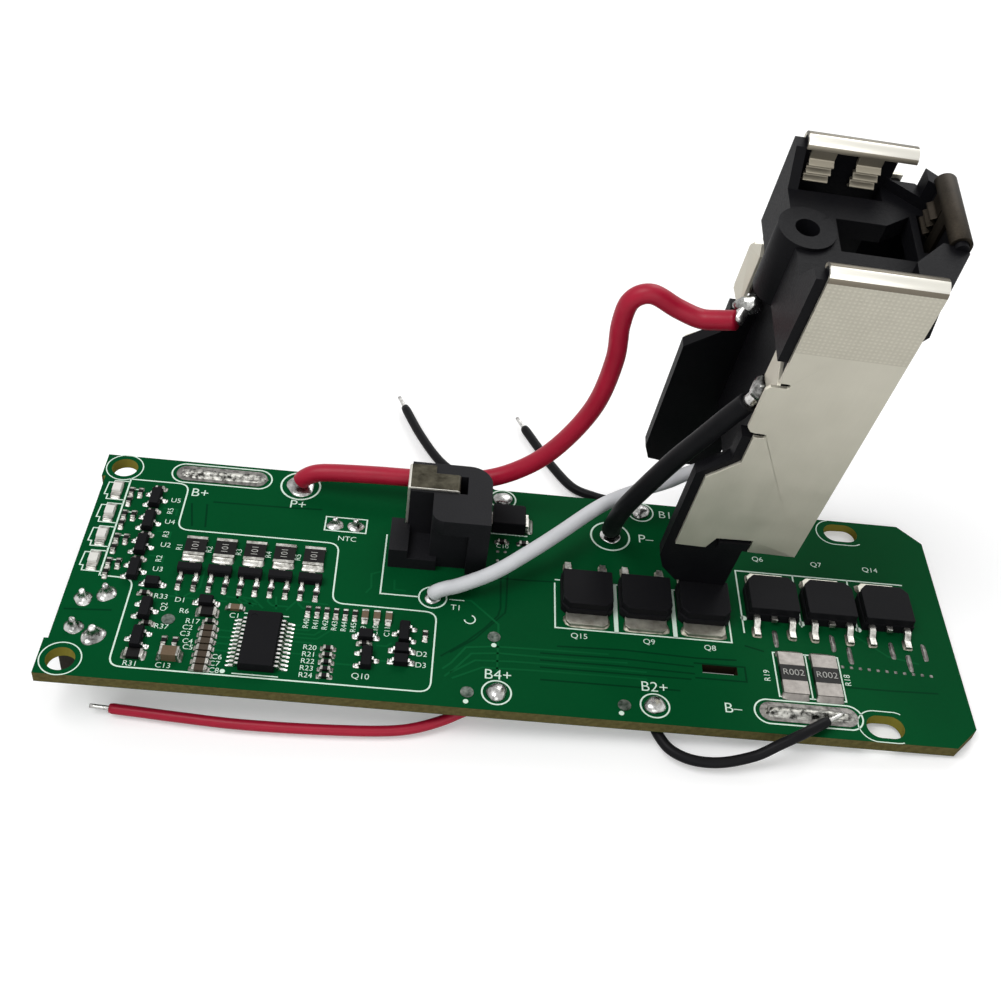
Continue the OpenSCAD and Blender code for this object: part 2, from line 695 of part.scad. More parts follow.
module switch_pins() {
  color("silver") on_board() for (s = [-1, 1])
    translate([pin_row_x, switch_y + s * pin_span / 2, under_z]) cylinder(d = pin_d, h = board_t);
}

module switch_plunger() {
  out = plunger_out + bracket_t + flange_gap;
  color("#151515") on_board() translate([switch_front + flange_gap, switch_y, plunger_z]) {
    rotate([0, -90, 0]) cylinder(d = plunger_d, h = out);
    rotate([0, 90, 0]) cylinder(d = flange_d, h = flange_t);
  }
}

// Tower frame
module on_tower() {
  on_board() translate(rest_on) rotate([tower_lean, 0, 0]) rotate([0, tower_roll, 0])
    translate([-foot_w, -sheet_t, 0]) children();
}

// Draws children at the front and mirrored at the back
module both_faces() {
  children();
  translate([0, tower_d, 0]) mirror([0, 1, 0]) children();
}

// Stands a drawing in w and u up at depth d, thick towards the back
module upright(d, t) {
  translate([0, d + t, 0]) rotate([90, 0, 0]) linear_extrude(t) children();
}

front_foot = [[-lip, foot_drop - 3.3], [-0.2, foot_drop - 5.8], [2.1, 0], [foot_w, 0]];
back_foot = [[-back_lip, foot_drop - 6.3], [0.9 - back_lip, foot_drop - 8.7],
  [3.3 - back_lip, foot_drop - 9.1], [foot_w, foot_drop - 9.1]];

module leg_outline(foot) {
  polygon(concat(foot, [[foot_w, foot_drop + 0.2], [plate_w - 0.2, foot_drop + 0.2],
    [plate_w - 0.2, bend_u], [step_w - lip, bend_u], [step_w - lip, step_u + step_rise],
    [foot[0].x, step_u]]));
}

// Plan of the cap that ties both legs and carries the side contact
module cap_plan() {
  polygon([[step_w - lip, sheet_t], [plate_w + 0.1, sheet_t], [side_wall_w + leg_t, corner_d],
    [side_wall_w + leg_t, back_corner_d], [plate_w - 1.7, tower_d - sheet_t],
    [step_w - lip, tower_d - sheet_t]]);
}

// Well between the ledges, wider at the back beside the right wall
module well_plan() {
  polygon([[web_w + web_t, well_front], [well_right, well_front], [well_right, well_back + 1.9],
    [well_right - 2.7, well_back], [web_w + web_t, well_back]]);
}

// Walls that stand above the ledges: front corner, right side and back corner
module wall_plan() {
  difference() {
    cap_plan();
    polygon([[-9, -9], [plate_w - 2.7, -9], [plate_w - 2.3, inner_front + 2.7],
      [side_wall_w - 1, corner_d + 1.1], [side_wall_w, corner_d + 1.1], [side_wall_w, back_corner_d - 0.5],
      [plate_w - 2.5, inner_back], [plate_w - 2.5, tower_d], [-9, tower_d]]);
  }
}

module cap() {
  translate([0, 0, cap_low]) linear_extrude(ledge_u - cap_low) difference() {
    cap_plan();
    well_plan();
    translate([side_wall_w - 1.1, side_tail[0] - 0.5]) square([1.1, side_leaf[1] - side_tail[0] + 1]);
  }
  translate([0, 0, cap_low]) linear_extrude(bend_u - cap_low) intersection() {
    wall_plan();
    union() {
      square([40, back_corner_d]);
      translate([side_wall_w - 1, 0]) square([20, tower_d]);
    }
  }
  translate([0, 0, cap_low]) linear_extrude(ledge_u + 1.3 - cap_low) wall_plan();
  upright(corner_d, back_corner_d - corner_d) polygon([[side_wall_w, cap_low + 1],
    [side_wall_w + leg_t, cap_low + 1], [side_wall_w + leg_t + apron_flare, cap_low - apron_h + 1.4],
    [side_wall_w + leg_t, cap_low - apron_h], [side_wall_w, cap_low - apron_h]]);
  translate([0, 0, cap_low - apron_h]) linear_extrude(apron_h + 0.1) polygon([
    [side_wall_w, back_corner_d - 0.8], [side_wall_w + leg_t, back_corner_d - 0.8],
    [side_wall_w + leg_t, back_corner_d], [plate_w - 1.7, tower_d - sheet_t], [plate_w - 1.7, inner_back]]);
  both_faces() translate([step_w - lip, inner_front, notch_high + 0.2]) rotate([90, 0, 90])
    linear_extrude(lip) polygon([[-0.1, 0], [well_front - inner_front, 0],
      [well_front - inner_front, ledge_u - notch_high - 0.2], [2.5, ledge_u - notch_high - 0.2],
      [0, bend_u - notch_high - 0.2], [-0.1, bend_u - notch_high - 0.2]]);
}

module tower_housing() {
  color("#1a1a1a") on_tower() difference() {
    union() {
      upright(sheet_t, leg_t) leg_outline(front_foot);
      upright(inner_back, leg_t) leg_outline(back_foot);
      both_faces() translate([step_w, sheet_t + leg_t / 2, bend_u]) rotate([0, 90, 0])
        cylinder(d = leg_t - 2 * seat_gap, h = plate_w - 1.9 - step_w);
      upright(-0.35, 0.5 + sheet_t) polygon([[5, foot_drop + 0.5], [8.8, foot_drop + 0.5],
        [8.8, foot_drop + 2], [5, foot_drop + 1.8]]);
      translate([web_w, inner_front, web_low]) cube([web_t, inner_back - inner_front, ledge_u - web_low]);
      translate([boss_at.x, boss_at.y, ledge_u - boss_l]) cylinder(d = boss_d, h = boss_l + boss_rise);
      cap();
      translate([side_wall_w + leg_t / 2, corner_d + 0.3, bend_u]) rotate([-90, 0, 0])
        cylinder(d = leg_t - 2 * seat_gap, h = back_corner_d - corner_d);
    }
    translate([boss_at.x, boss_at.y, ledge_u + boss_rise - boss_depth]) cylinder(d = boss_bore, h = boss_depth + 1);
    both_faces() translate([step_w - lip - 1, -1, tab_low - 0.8])
      cube([lip + sheet_t + 1.6, leg_t + 2, notch_high - tab_low + 1]);
    both_faces() translate([step_w, inner_front, cap_low - 0.6]) cube([leaf_slot_w, leaf_slot_d, 12]);
    translate([plate_w - 1.9, inner_back - 0.4, ledge_u + 0.1]) cube([9, 9, 12]);
  }
}

// Sheet strip beside points in a plane
module strip(p) {
  n = len(p) - 1;
  polygon(concat([for (i = [0:n]) p[i] - [sheet_t / 2, 0]], [for (i = [0:n]) p[n - i] + [sheet_t / 2, 0]]));
}

// Inner leaf with three waves, hanging from the bend at [0, 0]
leaf_l = 3.9;
leaf_wave = 0.6;
function leaf(n) = [for (i = [0:n]) let (t = i / n)
  [leaf_wave * (1 - cos(1080 * max(0, t - 0.25) / 0.75)) / 2, -leaf_l * t]];

module contact_outline(left) {
  difference() {
    polygon([[0, foot_drop], [plate_w, foot_drop], [plate_w, bend_u], [step_w, bend_u],
      [step_w, tab_high - 0.35], [step_w - lip + 0.4, tab_high - 0.35], [step_w - lip, tab_high - 0.9],
      [step_w - lip, tab_low + 1.2], [step_w - lip + 0.5, tab_low + 0.5], [step_w, tab_low + 0.35],
      [step_w, step_u + step_rise], [left, step_u], [left, foot_drop + 3.2]]);
    polygon([[3.4, foot_drop - 1], [4.6, foot_drop + 2.1], [9.1, foot_drop + 2.4], [9.1, foot_drop - 1]]);
    for (u = [tab_low, tab_high]) translate([step_w, u]) stadium(2.6, 0.7);
  }
}

// Contact plate with its folded top, two spring leaves and a solder tab
module end_contact(left, tab_w) {
  upright(0, sheet_t) contact_outline(left);
  mid = sheet_t + leg_t / 2;
  translate([step_w, mid, bend_u]) rotate([90, 0, 90]) linear_extrude(neck_w) intersection() {
    difference() {
      circle(leg_t / 2 + sheet_t);
      circle(leg_t / 2);
    }
    translate([-5, 0]) square([10, 5]);
  }
  for (w = [step_w + 0.6, step_w + 5.7]) translate([w, mid + leg_t / 2 + sheet_t / 2, bend_u])
    rotate([90, 0, 90]) linear_extrude(leaf_w) strip(leaf(32));
  translate([tab_w, 0, 0]) rotate([90, 0, 90]) linear_extrude(sheet_t)
    polygon([[sheet_t / 2, tab_low + 0.8], [tab_reach - 1.2, tab_low + 1.3], [tab_reach, tab_low + 2.2],
      [tab_reach, tab_high + 1.6], [tab_reach - 1, tab_high + 2.6], [sheet_t / 2, tab_high - 0.5]]);
}

module negative_contact() {
  color("#c8c2b4") on_tower() end_contact(0, step_w);
}

module positive_contact() {
  color("#c8c2b4") on_tower() translate([0, tower_d, 0]) mirror([0, 1, 0]) difference() {
    end_contact(0.3 - back_lip, step_w - lip);
    translate([plate_w - 1.9, -1, ledge_u + 0.6]) cube([4, 1 + sheet_t + 0.1, bend_u - ledge_u - 0.6]);
  }
}

// Side contact folded over the right wall of the cap
module sense_contact() {
  mid = side_wall_w + leg_t / 2;
  outer = leg_t / 2 + sheet_t;
  color("#c8c2b4") on_tower() {
    translate([mid, back_corner_d + 0.4, bend_u]) rotate([90, 0, 0])
      linear_extrude(back_corner_d - corner_d - 0.5) {
      intersection() {
        difference() {
          circle(outer);
          circle(leg_t / 2);
        }
        translate([-5, 0]) square([10, 5]);
      }
      translate([leg_t / 2, -4.6]) square([sheet_t, 4.6]);
    }
    translate([mid - leg_t / 2 - sheet_t / 2, side_leaf[1], bend_u]) rotate([90, 0, 0])
      linear_extrude(side_leaf[1] - side_leaf[0]) mirror([1, 0]) strip(leaf(32));
    translate([side_wall_w - sheet_t, side_tail[0], bend_u - 12])
      cube([sheet_t, side_tail[1] - side_tail[0], 12]);
  }
}

module solder_dome(r, h) {
  rotate_extrude() polygon([[0, 0], [r, 0], [r * 0.92, h * 0.4], [r * 0.7, h * 0.75], [r * 0.35, h * 0.96], [0, h]]);
}

module tower_solder() {
  color("silver") on_tower() {
    translate([step_w, tab_reach - solder_r + 0.4, tab_low + 3.6]) rotate([0, -90, 0])
      solder_dome(solder_r, solder_r);
    translate([step_w - lip + 0.9, tower_d - tab_reach, tab_low + 2.9]) rotate([90, 0, 0])
      solder_dome(solder_r + 0.2, solder_r + 0.2);
    translate([side_wall_w - sheet_t, (side_tail[0] + side_tail[1]) / 2, bend_u - 10.6])
      rotate([0, -90, 0]) solder_dome(solder_r * 0.85, solder_r * 0.8);
  }
}

// Wires: one ring of eight points at every route point
function heading(p, i) = let (v = p[min(i + 1, len(p) - 1)] - p[max(i - 1, 0)]) v / norm(v);
function start_up(t) = let (v = cross(t, abs(t.z) < 0.8 ? [0, 0, 1] : [0, 1, 0])) v / norm(v);
function carried(p, i) = i == 0 ? start_up(heading(p, 0))
  : let (t = heading(p, i), last = carried(p, i - 1), v = last - (last * t) * t) v / norm(v);
function ring(p, i, r) = let (t = heading(p, i), a = carried(p, i), b = cross(t, a))
  [for (k = [0:7]) p[i] + r * (cos(45 * k) * a + sin(45 * k) * b)];

module tube(p, d) {
  n = len(p);
  polyhedron(points = [for (i = [0:n - 1]) each ring(p, i, d / 2)],
    faces = concat([[for (k = [0:7]) k]], [[for (k = [0:7]) 8 * n - 1 - k]],
      [for (i = [0:n - 2], k = [0:7]) let (m = (k + 1) % 8)
        each [[8 * i + k, 8 * i + 8 + k, 8 * i + 8 + m], [8 * i + k, 8 * i + 8 + m, 8 * i + m]]]));
}

module positive_wire() {
  color("crimson") on_board() tube(positive_route, power_wire_d);
}

module negative_wire() {
  color("#181818") on_board() tube(negative_route, power_wire_d);
}

module signal_wire() {
  color("white") on_board() tube(signal_route, signal_wire_d);
}

module sense_wire_1() {
  color("#181818") on_board() tube(sense_1_route, sense_wire_d);
}

module sense_wire_2() {
  color("#181818") on_board() tube(sense_2_route, sense_wire_d);
}

module sense_wire_3() {
  color("#181818") on_board() tube(sense_3_route, sense_wire_d);
}

module sense_wire_4() {
  color("crimson") on_board() tube(sense_4_route, sense_wire_d);
}

// Tinned ends of the sense wires
module bare_tips() {
  color("silver") on_board() for (p = [sense_1_route, sense_2_route, sense_3_route, sense_4_route]) {
    last = p[len(p) - 1];
    tube([last, last + tip_l * heading(p, len(p) - 1)], tip_d);
  }
}

circuit_board();
cell_slot_solder();
wire_joints();
pin_joints();
test_pads();
led_bodies();
led_lenses();
led_terminals();
transistor_bodies();
transistor_leads();
chip_resistors();
chip_capacitors();
chip_ends();
balance_resistors();
balance_terminals();
controller_body();
controller_leads();
shunt_bodies();
shunt_terminals();
power_diode();
power_diode_terminals();
fet_bodies();
fet_tabs();
fet_leads();
contact_holder();
holder_clip();
switch_body();
switch_bracket();
switch_pins();
switch_plunger();
tower_housing();
negative_contact();
positive_contact();
sense_contact();
tower_solder();
positive_wire();
negative_wire();
signal_wire();
sense_wire_1();
sense_wire_2();
sense_wire_3();
sense_wire_4();
bare_tips();
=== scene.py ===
import bpy
import math
import numpy as np
from mathutils import Matrix, Vector


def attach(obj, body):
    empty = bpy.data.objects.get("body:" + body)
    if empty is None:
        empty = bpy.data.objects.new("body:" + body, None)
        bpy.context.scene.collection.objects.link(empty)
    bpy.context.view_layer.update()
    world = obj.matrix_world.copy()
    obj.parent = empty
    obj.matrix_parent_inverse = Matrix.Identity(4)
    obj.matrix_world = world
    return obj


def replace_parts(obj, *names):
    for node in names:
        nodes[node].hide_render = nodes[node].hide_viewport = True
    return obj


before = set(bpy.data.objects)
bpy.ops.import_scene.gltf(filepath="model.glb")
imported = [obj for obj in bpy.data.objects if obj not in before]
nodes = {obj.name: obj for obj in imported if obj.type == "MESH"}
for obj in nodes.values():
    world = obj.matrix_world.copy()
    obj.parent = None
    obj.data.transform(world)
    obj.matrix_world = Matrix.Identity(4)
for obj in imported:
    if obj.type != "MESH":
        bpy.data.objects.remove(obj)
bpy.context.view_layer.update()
scene = bpy.context.scene
scene.view_settings.view_transform = "Standard"
mm = 0.001
gaugeEnd = 2.65  # screw holes to the gauge end of the board, mm


def onBoard(points):  # mm from the gauge end and the centre line -> metres in the frame
    return (np.asarray(points, float) - (gaugeEnd, 0, 0)) * mm


# the tower's own axes: w right, d back, u up, as in the CAD
tower = {"lean": 10.0, "roll": 2.4, "rest": (82.25, 2.4, 2.35), "pivot": (8.6, 0.4, 0.0)}
turns = (("lean", "X"), ("roll", "Y"))
lean, roll = (Matrix.Rotation(math.radians(tower[key]), 3, axis) for key, axis in turns)
leanTurn = lean @ roll
towerTurn = np.array(leanTurn)


def onTower(points):  # tower mm -> metres in the frame
    return onBoard((np.asarray(points, float) - tower["pivot"]) @ towerTurn.T + tower["rest"])


# camera and light
photoView = {
    "place": (40.289, -111.065, 122.364),
    "right": (0.99410, 0.02143, 0.10634),
    "up": (-0.09146, 0.69265, 0.71545),
    "ahead": (0.05832, 0.72096, -0.69052),
    "lens": 46.683,
    "sensor": 36.0,
    "clip": (0.005, 10.0),
}
camData = bpy.data.cameras.new("photoCamera")
camData.sensor_width = photoView["sensor"]
camData.lens = photoView["lens"]
camData.clip_start, camData.clip_end = photoView["clip"]
camera = bpy.data.objects.new("photoCamera", camData)
scene.collection.objects.link(camera)
r, u, a = (Vector(photoView[k]).normalized() for k in ("right", "up", "ahead"))
place = Vector(photoView["place"]) * mm
camera.matrix_world = Matrix((*((r[k], u[k], -a[k], place[k]) for k in range(3)), (0, 0, 0, 1)))
scene.camera = camera

lamps = [  # name, place, aimed at, size, watts
    ("keyLamp", (-0.22, -0.10, 0.55), (0.04, 0.0, 0.01), 0.40, 2.1),
    ("backLamp", (0.25, 0.45, 0.45), (0.05, 0.0, 0.02), 0.40, 1.4),
    ("frontLamp", (0.10, -0.60, 0.30), (0.05, 0.0, 0.02), 0.50, 1.0),
]
for name, spot, aim, size, watts in lamps:
    lampData = bpy.data.lights.new(name, "AREA")
    lampData.shape, lampData.size, lampData.energy = "DISK", size, watts
    lamp = bpy.data.objects.new(name, lampData)
    lamp.location = spot
    lamp.rotation_euler = (Vector(aim) - Vector(spot)).to_track_quat("-Z", "Y").to_euler()
    scene.collection.objects.link(lamp)
print("camera and lamps placed")


class Flow:  # one output socket, with maths on it
    def __init__(self, tree, socket):
        self.tree, self.socket = tree, socket

    def math(self, operation, a, b):
        return node(self.tree, "ShaderNodeMath", {"operation": operation}, {0: a, 1: b})

    def __add__(self, other):
        return self.math("ADD", self, other)

    __radd__ = __add__

    def __sub__(self, other):
        return self.math("SUBTRACT", self, other)

    def __rsub__(self, other):
        return self.math("SUBTRACT", other, self)

    def __mul__(self, other):
        return self.math("MULTIPLY", self, other)

    __rmul__ = __mul__

    def __gt__(self, other):
        return self.math("GREATER_THAN", self, other)

    def __lt__(self, other):
        return self.math("LESS_THAN", self, other)


def node(tree, kind, settings=None, values=None, out=0):  # any node: settings first, then sockets
    made = tree.nodes.new(kind)
    for key, value in (settings or {}).items():
        setattr(made, key, value)
    for key, value in (values or {}).items():
        if isinstance(value, Flow):
            tree.links.new(value.socket, made.inputs[key])
        else:
            made.inputs[key].default_value = value
    return Flow(tree, made.outputs[out])


class Finish:  # a material with its Principled shader
    def __init__(self, name):
        self.material = bpy.data.materials.new(name)
        self.material.use_nodes = True
        self.tree = self.material.node_tree
        self.shader = self.tree.nodes["Principled BSDF"]
        self.place = self.node("ShaderNodeTexCoord", out="Object")

    def node(self, kind, settings=None, values=None, out=0):
        return node(self.tree, kind, settings, values, out)

    def set(self, **sockets):
        for key, value in sockets.items():
            socket = self.shader.inputs[key.replace("_", " ")]
            if isinstance(value, Flow):
                self.tree.links.new(value.socket, socket)
            else:
                socket.default_value = (*value, 1) if isinstance(value, tuple) and len(value) == 3 else value

    def noise(self, scale, detail=3.0, rough=0.55, where=None):
        values = {"Vector": where or self.place, "Scale": scale, "Detail": detail, "Roughness": rough}
        return self.node("ShaderNodeTexNoise", None, values)

    def mix(self, share, first, second):  # inputs 6 and 7 and output 2 are the node's colour sockets
        a, b = (v if isinstance(v, Flow) else (*v, 1) for v in (first, second))
        return self.node("ShaderNodeMix", {"data_type": "RGBA"}, {"Factor": share, 6: a, 7: b}, out=2)

    def bump(self, height, distance, strength=1.0):
        values = {"Height": height, "Distance": distance, "Strength": strength}
        self.set(Normal=self.node("ShaderNodeBump", None, values))

    def axis(self, index, where=None):
        return self.node("ShaderNodeSeparateXYZ", None, {0: where or self.place}, out=index)


def paint(piece, finish):
    piece.data.materials.clear()
    piece.data.materials.append(finish.material)


def meshObject(name, points, faces, smooth):
    mesh = bpy.data.meshes.new(name)
    mesh.from_pydata(np.vstack(points).tolist(), [], faces)
    mesh.polygons.foreach_set("use_smooth", np.full(len(mesh.polygons), smooth))
    mesh.update()
    made = bpy.data.objects.new(name, mesh)
    scene.collection.objects.link(made)
    return made


def sheetMesh(name, stacks, closed=True):
    # each stack is (copies, rows, columns, 3): every copy is a grid of points, a function of two parameters;
    # quads join neighbours and are turned so that their normals leave the copy's middle, or look up where it
    # is flat; closed joins the last column to the first, caps both end rows with one face and shades smooth
    points, faces, count = [], [], 0
    for stack in stacks if isinstance(stacks, list) else [stacks]:
        k, n, m = stack.shape[:3]
        i, j = np.meshgrid(np.arange(n - 1), np.arange(m if closed else m - 1), indexing="ij")
        i, j = i.ravel(), j.ravel()
        quad = np.stack([i * m + j, i * m + (j + 1) % m, (i + 1) * m + (j + 1) % m, (i + 1) * m + j], 1)
        ring = np.arange(m)
        ends = np.stack([ring[::-1], ring + (n - 1) * m])
        first = stack[0].reshape(-1, 3)
        a, b, c, d = (first[quad[:, q]] for q in range(4))
        normal = np.cross(c - a, d - b)
        out = ((a + b + c + d) / 4 - first.mean(0)) * normal
        flat = np.ptp(first[:, 2]) < 1e-7
        if (normal[:, 2].sum() if flat else out.sum()) < 0:
            quad, ends = quad[:, ::-1], ends[:, ::-1]
        shift = (count + np.arange(k) * n * m)[:, None, None]
        faces += (quad[None] + shift).reshape(-1, 4).tolist()
        if closed:
            faces += (ends[None] + shift).reshape(-1, m).tolist()
        points.append(stack.reshape(-1, 3))
        count += k * n * m
    return meshObject(name, points, faces, closed)


def finishPiece(piece, finish, slotName):
    paint(piece, finish)
    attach(piece, "board")
    return piece


def addPiece(name, stacks, finish, slotName, closed=True):
    return finishPiece(sheetMesh(name, stacks, closed), finish, slotName)


def unit(v):
    return v / np.linalg.norm(v, axis=-1, keepdims=True)


def fullTurn(columns):
    return np.linspace(0, 2 * np.pi, columns, endpoint=False)


def smoothRoute(points, steps):
    # Catmull-Rom curve: each span is a cubic that passes through its two points along their neighbours' chord
    p = np.asarray(points, float)
    p = np.vstack([2 * p[0] - p[1], p, 2 * p[-1] - p[-2]])
    t = np.linspace(0, 1, steps, endpoint=False)[None, :, None]
    a, b, c, d = (p[k:len(p) - 3 + k][:, None] for k in range(4))
    span = 0.5 * (
        2 * b + (c - a) * t + (2 * a - 5 * b + 4 * c - d) * t ** 2 + (3 * b - a - 3 * c + d) * t ** 3
    )
    return np.vstack([span.reshape(-1, 3), p[-2]])


def pathFrames(path, side):
    # two normals at each point, square to the tangent by central differences, from one fixed side direction
    t = unit(np.gradient(path, axis=0))
    n = unit(np.cross(t, side))
    return n, np.cross(n, t)


def tubeStack(path, radius, side, columns):
    # circle of the given radius carried along the path: centre + r (cos n + sin b)
    n, b = pathFrames(path, side)
    turn = fullTurn(columns)[None, :, None]
    r = np.broadcast_to(radius, len(path))[:, None, None]
    return path[:, None] + r * (np.cos(turn) * n[:, None] + np.sin(turn) * b[:, None])


sleeveLook = {"cloud": 260, "fleck": 2600, "rough": 0.30, "coatRough": 0.25, "depth": 0.00006}


def sleeve(name, dark, light, shine, coat):
    # soft silicone: faint cloudy tone, dust and a fine drawn bump
    f = Finish(name)
    cloud = f.noise(sleeveLook["cloud"], 4)
    fleck = f.noise(sleeveLook["fleck"], 2)
    f.set(Base_Color=f.mix(cloud, dark, light), Roughness=sleeveLook["rough"] + cloud * 0.12 + fleck * 0.10)
    f.set(Specular_IOR_Level=shine, Coat_Weight=coat, Coat_Roughness=sleeveLook["coatRough"])
    f.bump(cloud * 0.6 + fleck * 0.4, sleeveLook["depth"], 0.5)
    return f


redSleeve = sleeve("redSleeve", (0.27, 0.004, 0.020), (0.41, 0.008, 0.034), 0.22, 0.04)
blackSleeve = sleeve("blackSleeve", (0.003, 0.003, 0.004), (0.009, 0.009, 0.010), 0.08, 0.0)
whiteSleeve = sleeve("whiteSleeve", (0.50, 0.51, 0.53), (0.68, 0.69, 0.71), 0.25, 0.04)


def metal(name, low, high, hard, rough, spread, grain, depth):
    # plated or soldered metal: patches of two tones, partly real tone and partly painted reflection of dark
    # and bright surroundings, small dents
    f = Finish(name)
    cloud = f.noise(grain, 5, 0.6)
    fine = f.noise(grain * 7, 3)
    # dark and bright patches: partly painted reflection, partly the metal's own tone
    patch = 0.5 + (cloud - 0.5) * hard
    f.set(Metallic=1.0, Base_Color=f.mix(patch, low, high))
    f.set(Roughness=rough + (cloud - 0.5) * spread + fine * 0.06)
    f.bump(cloud * 0.75 + fine * 0.25, depth, 0.6)
    return f


# the solders' strong dark and bright patches: painted reflection, with some real tone
solderFinish = metal("brightSolder", (0.05, 0.05, 0.046), (0.76, 0.76, 0.74), 2.8, 0.20, 0.20, 460, 0.00016)
tinFinish = metal("mattTin", (0.12, 0.115, 0.10), (0.62, 0.61, 0.57), 2.2, 0.32, 0.20, 1500, 0.00004)
leadFinish = metal("brightLead", (0.38, 0.375, 0.35), (0.90, 0.89, 0.87), 2.0, 0.26, 0.16, 1100, 0.00003)
tabFinish = metal("tabTin", (0.20, 0.19, 0.16), (0.50, 0.49, 0.43), 1.8, 0.44, 0.16, 700, 0.00003)
tabSolder = metal("tabSolder", (0.12, 0.115, 0.09), (0.42, 0.40, 0.335), 2.6, 0.46, 0.20, 800, 0.00012)
dullFinish = metal("dullSolder", (0.05, 0.047, 0.045), (0.27, 0.26, 0.245), 2.4, 0.46, 0.20, 1300, 0.00012)
seamFinish = metal("seamSolder", (0.02, 0.02, 0.018), (0.46, 0.455, 0.42), 4.4, 0.32, 0.20, 1300, 0.00020)
shuntFinish = metal("brushedAlloy", (0.14, 0.13, 0.12), (0.32, 0.30, 0.28), 2.0, 0.46, 0.16, 800, 0.00003)
padFinish = metal("greyPad", (0.03, 0.045, 0.035), (0.16, 0.18, 0.16), 3.2, 0.50, 0.20, 1500, 0.00004)
strandFinish = metal("tinnedStrand", (0.34, 0.335, 0.32), (0.80, 0.79, 0.77), 1.8, 0.26, 0.16, 2600, 0.00002)


def mould(name, dark, light, rough, grain, depth, shine):
    # mouldings: cloudy tone, fine spark-eroded grain
    f = Finish(name)
    cloud = f.noise(140, 4)
    fine = f.noise(grain, 2)
    f.set(Base_Color=f.mix(cloud * 0.6 + fine * 0.4, dark, light))
    f.set(Roughness=rough + (fine - 0.5) * 0.22, Specular_IOR_Level=shine)
    f.bump(fine, depth, 0.55)
    return f


housingFinish = mould(
    "satinBlackPlastic", (0.002, 0.002, 0.003), (0.007, 0.007, 0.008), 0.46, 3800, 0.00003, 0.07
)
holderFinish = mould(
    "mattBlackPlastic", (0.004, 0.004, 0.005), (0.013, 0.013, 0.015), 0.50, 3800, 0.00003, 0.10
)
buttonFinish = mould("buttonPlastic", (0.006, 0.006, 0.006), (0.014, 0.014, 0.014), 0.50, 3000, 0.00003, 0.12)
epoxyFinish = mould("blackEpoxy", (0.003, 0.003, 0.004), (0.009, 0.009, 0.010), 0.54, 6500, 0.00002, 0.05)
filmFinish = mould("glazedFilm", (0.004, 0.004, 0.004), (0.010, 0.009, 0.009), 0.32, 5200, 0.00001, 0.10)
ledFinish = mould("whiteLaminate", (0.50, 0.48, 0.43), (0.70, 0.68, 0.63), 0.45, 3000, 0.00001, 0.3)
lensFinish = mould("clearLens", (0.56, 0.55, 0.51), (0.76, 0.75, 0.71), 0.18, 2500, 0.00001, 0.4)
ceramicLook = {"dark": (0.075, 0.048, 0.028), "light": (0.17, 0.118, 0.07), "fired": (0.030, 0.021, 0.013),
               "row": (17.6, 19.6, -17.1, -9.4), "share": 0.85, "rough": 0.42, "shine": 0.2}
f = ceramicFinish = Finish("firedCeramic")  # tan bodies, darker in the filter row
cloud = f.noise(140, 4)
fine = f.noise(4200, 2)
rowLeft, rowRight, rowFront, rowRear = (v * mm for v in ceramicLook["row"])
along = f.axis(0) + gaugeEnd * mm
across = f.axis(1)
inRow = (along > rowLeft) * (along < rowRight) * (across > rowFront) * (across < rowRear)
tan = f.mix(cloud * 0.6 + fine * 0.4, ceramicLook["dark"], ceramicLook["light"])
f.set(Base_Color=f.mix(inRow * ceramicLook["share"], tan, ceramicLook["fired"]))
f.set(Roughness=ceramicLook["rough"] + (fine - 0.5) * 0.22, Specular_IOR_Level=ceramicLook["shine"])
f.bump(fine, 0.00002, 0.55)
print("plain finishes made")

# nickel contacts: warm plate, faint drawing lines, raised dots on the outer faces near the folded top, with
# painted shade between the dots; a painted shadow band under each rolled top, a painted highlight on the side
# of each roll that looks forward, painted shade on its crest and rear side and on the inner faces;
# places are mm up the tower and across it
nickelLook = {
    "rough": 0.54, "levels": (43.9, 53.7, 54.3), "pitch": 0.5,
    # painted light: shadow band under the roll, highlight on the roll, shade on its crest and on the inner
    # faces
    "underRollShadow": (0.10, 0.075, 0.048), "roll": (0.80, 0.78, 0.71), "crestShade": (0.075, 0.066, 0.05),
    "leaf": (0.20, 0.175, 0.13), "outer": (0.15, 21.85), "inner": (1.0, 21.0), "frontRoll": 1.15,
    "backRoll": (15, 20.75)
}


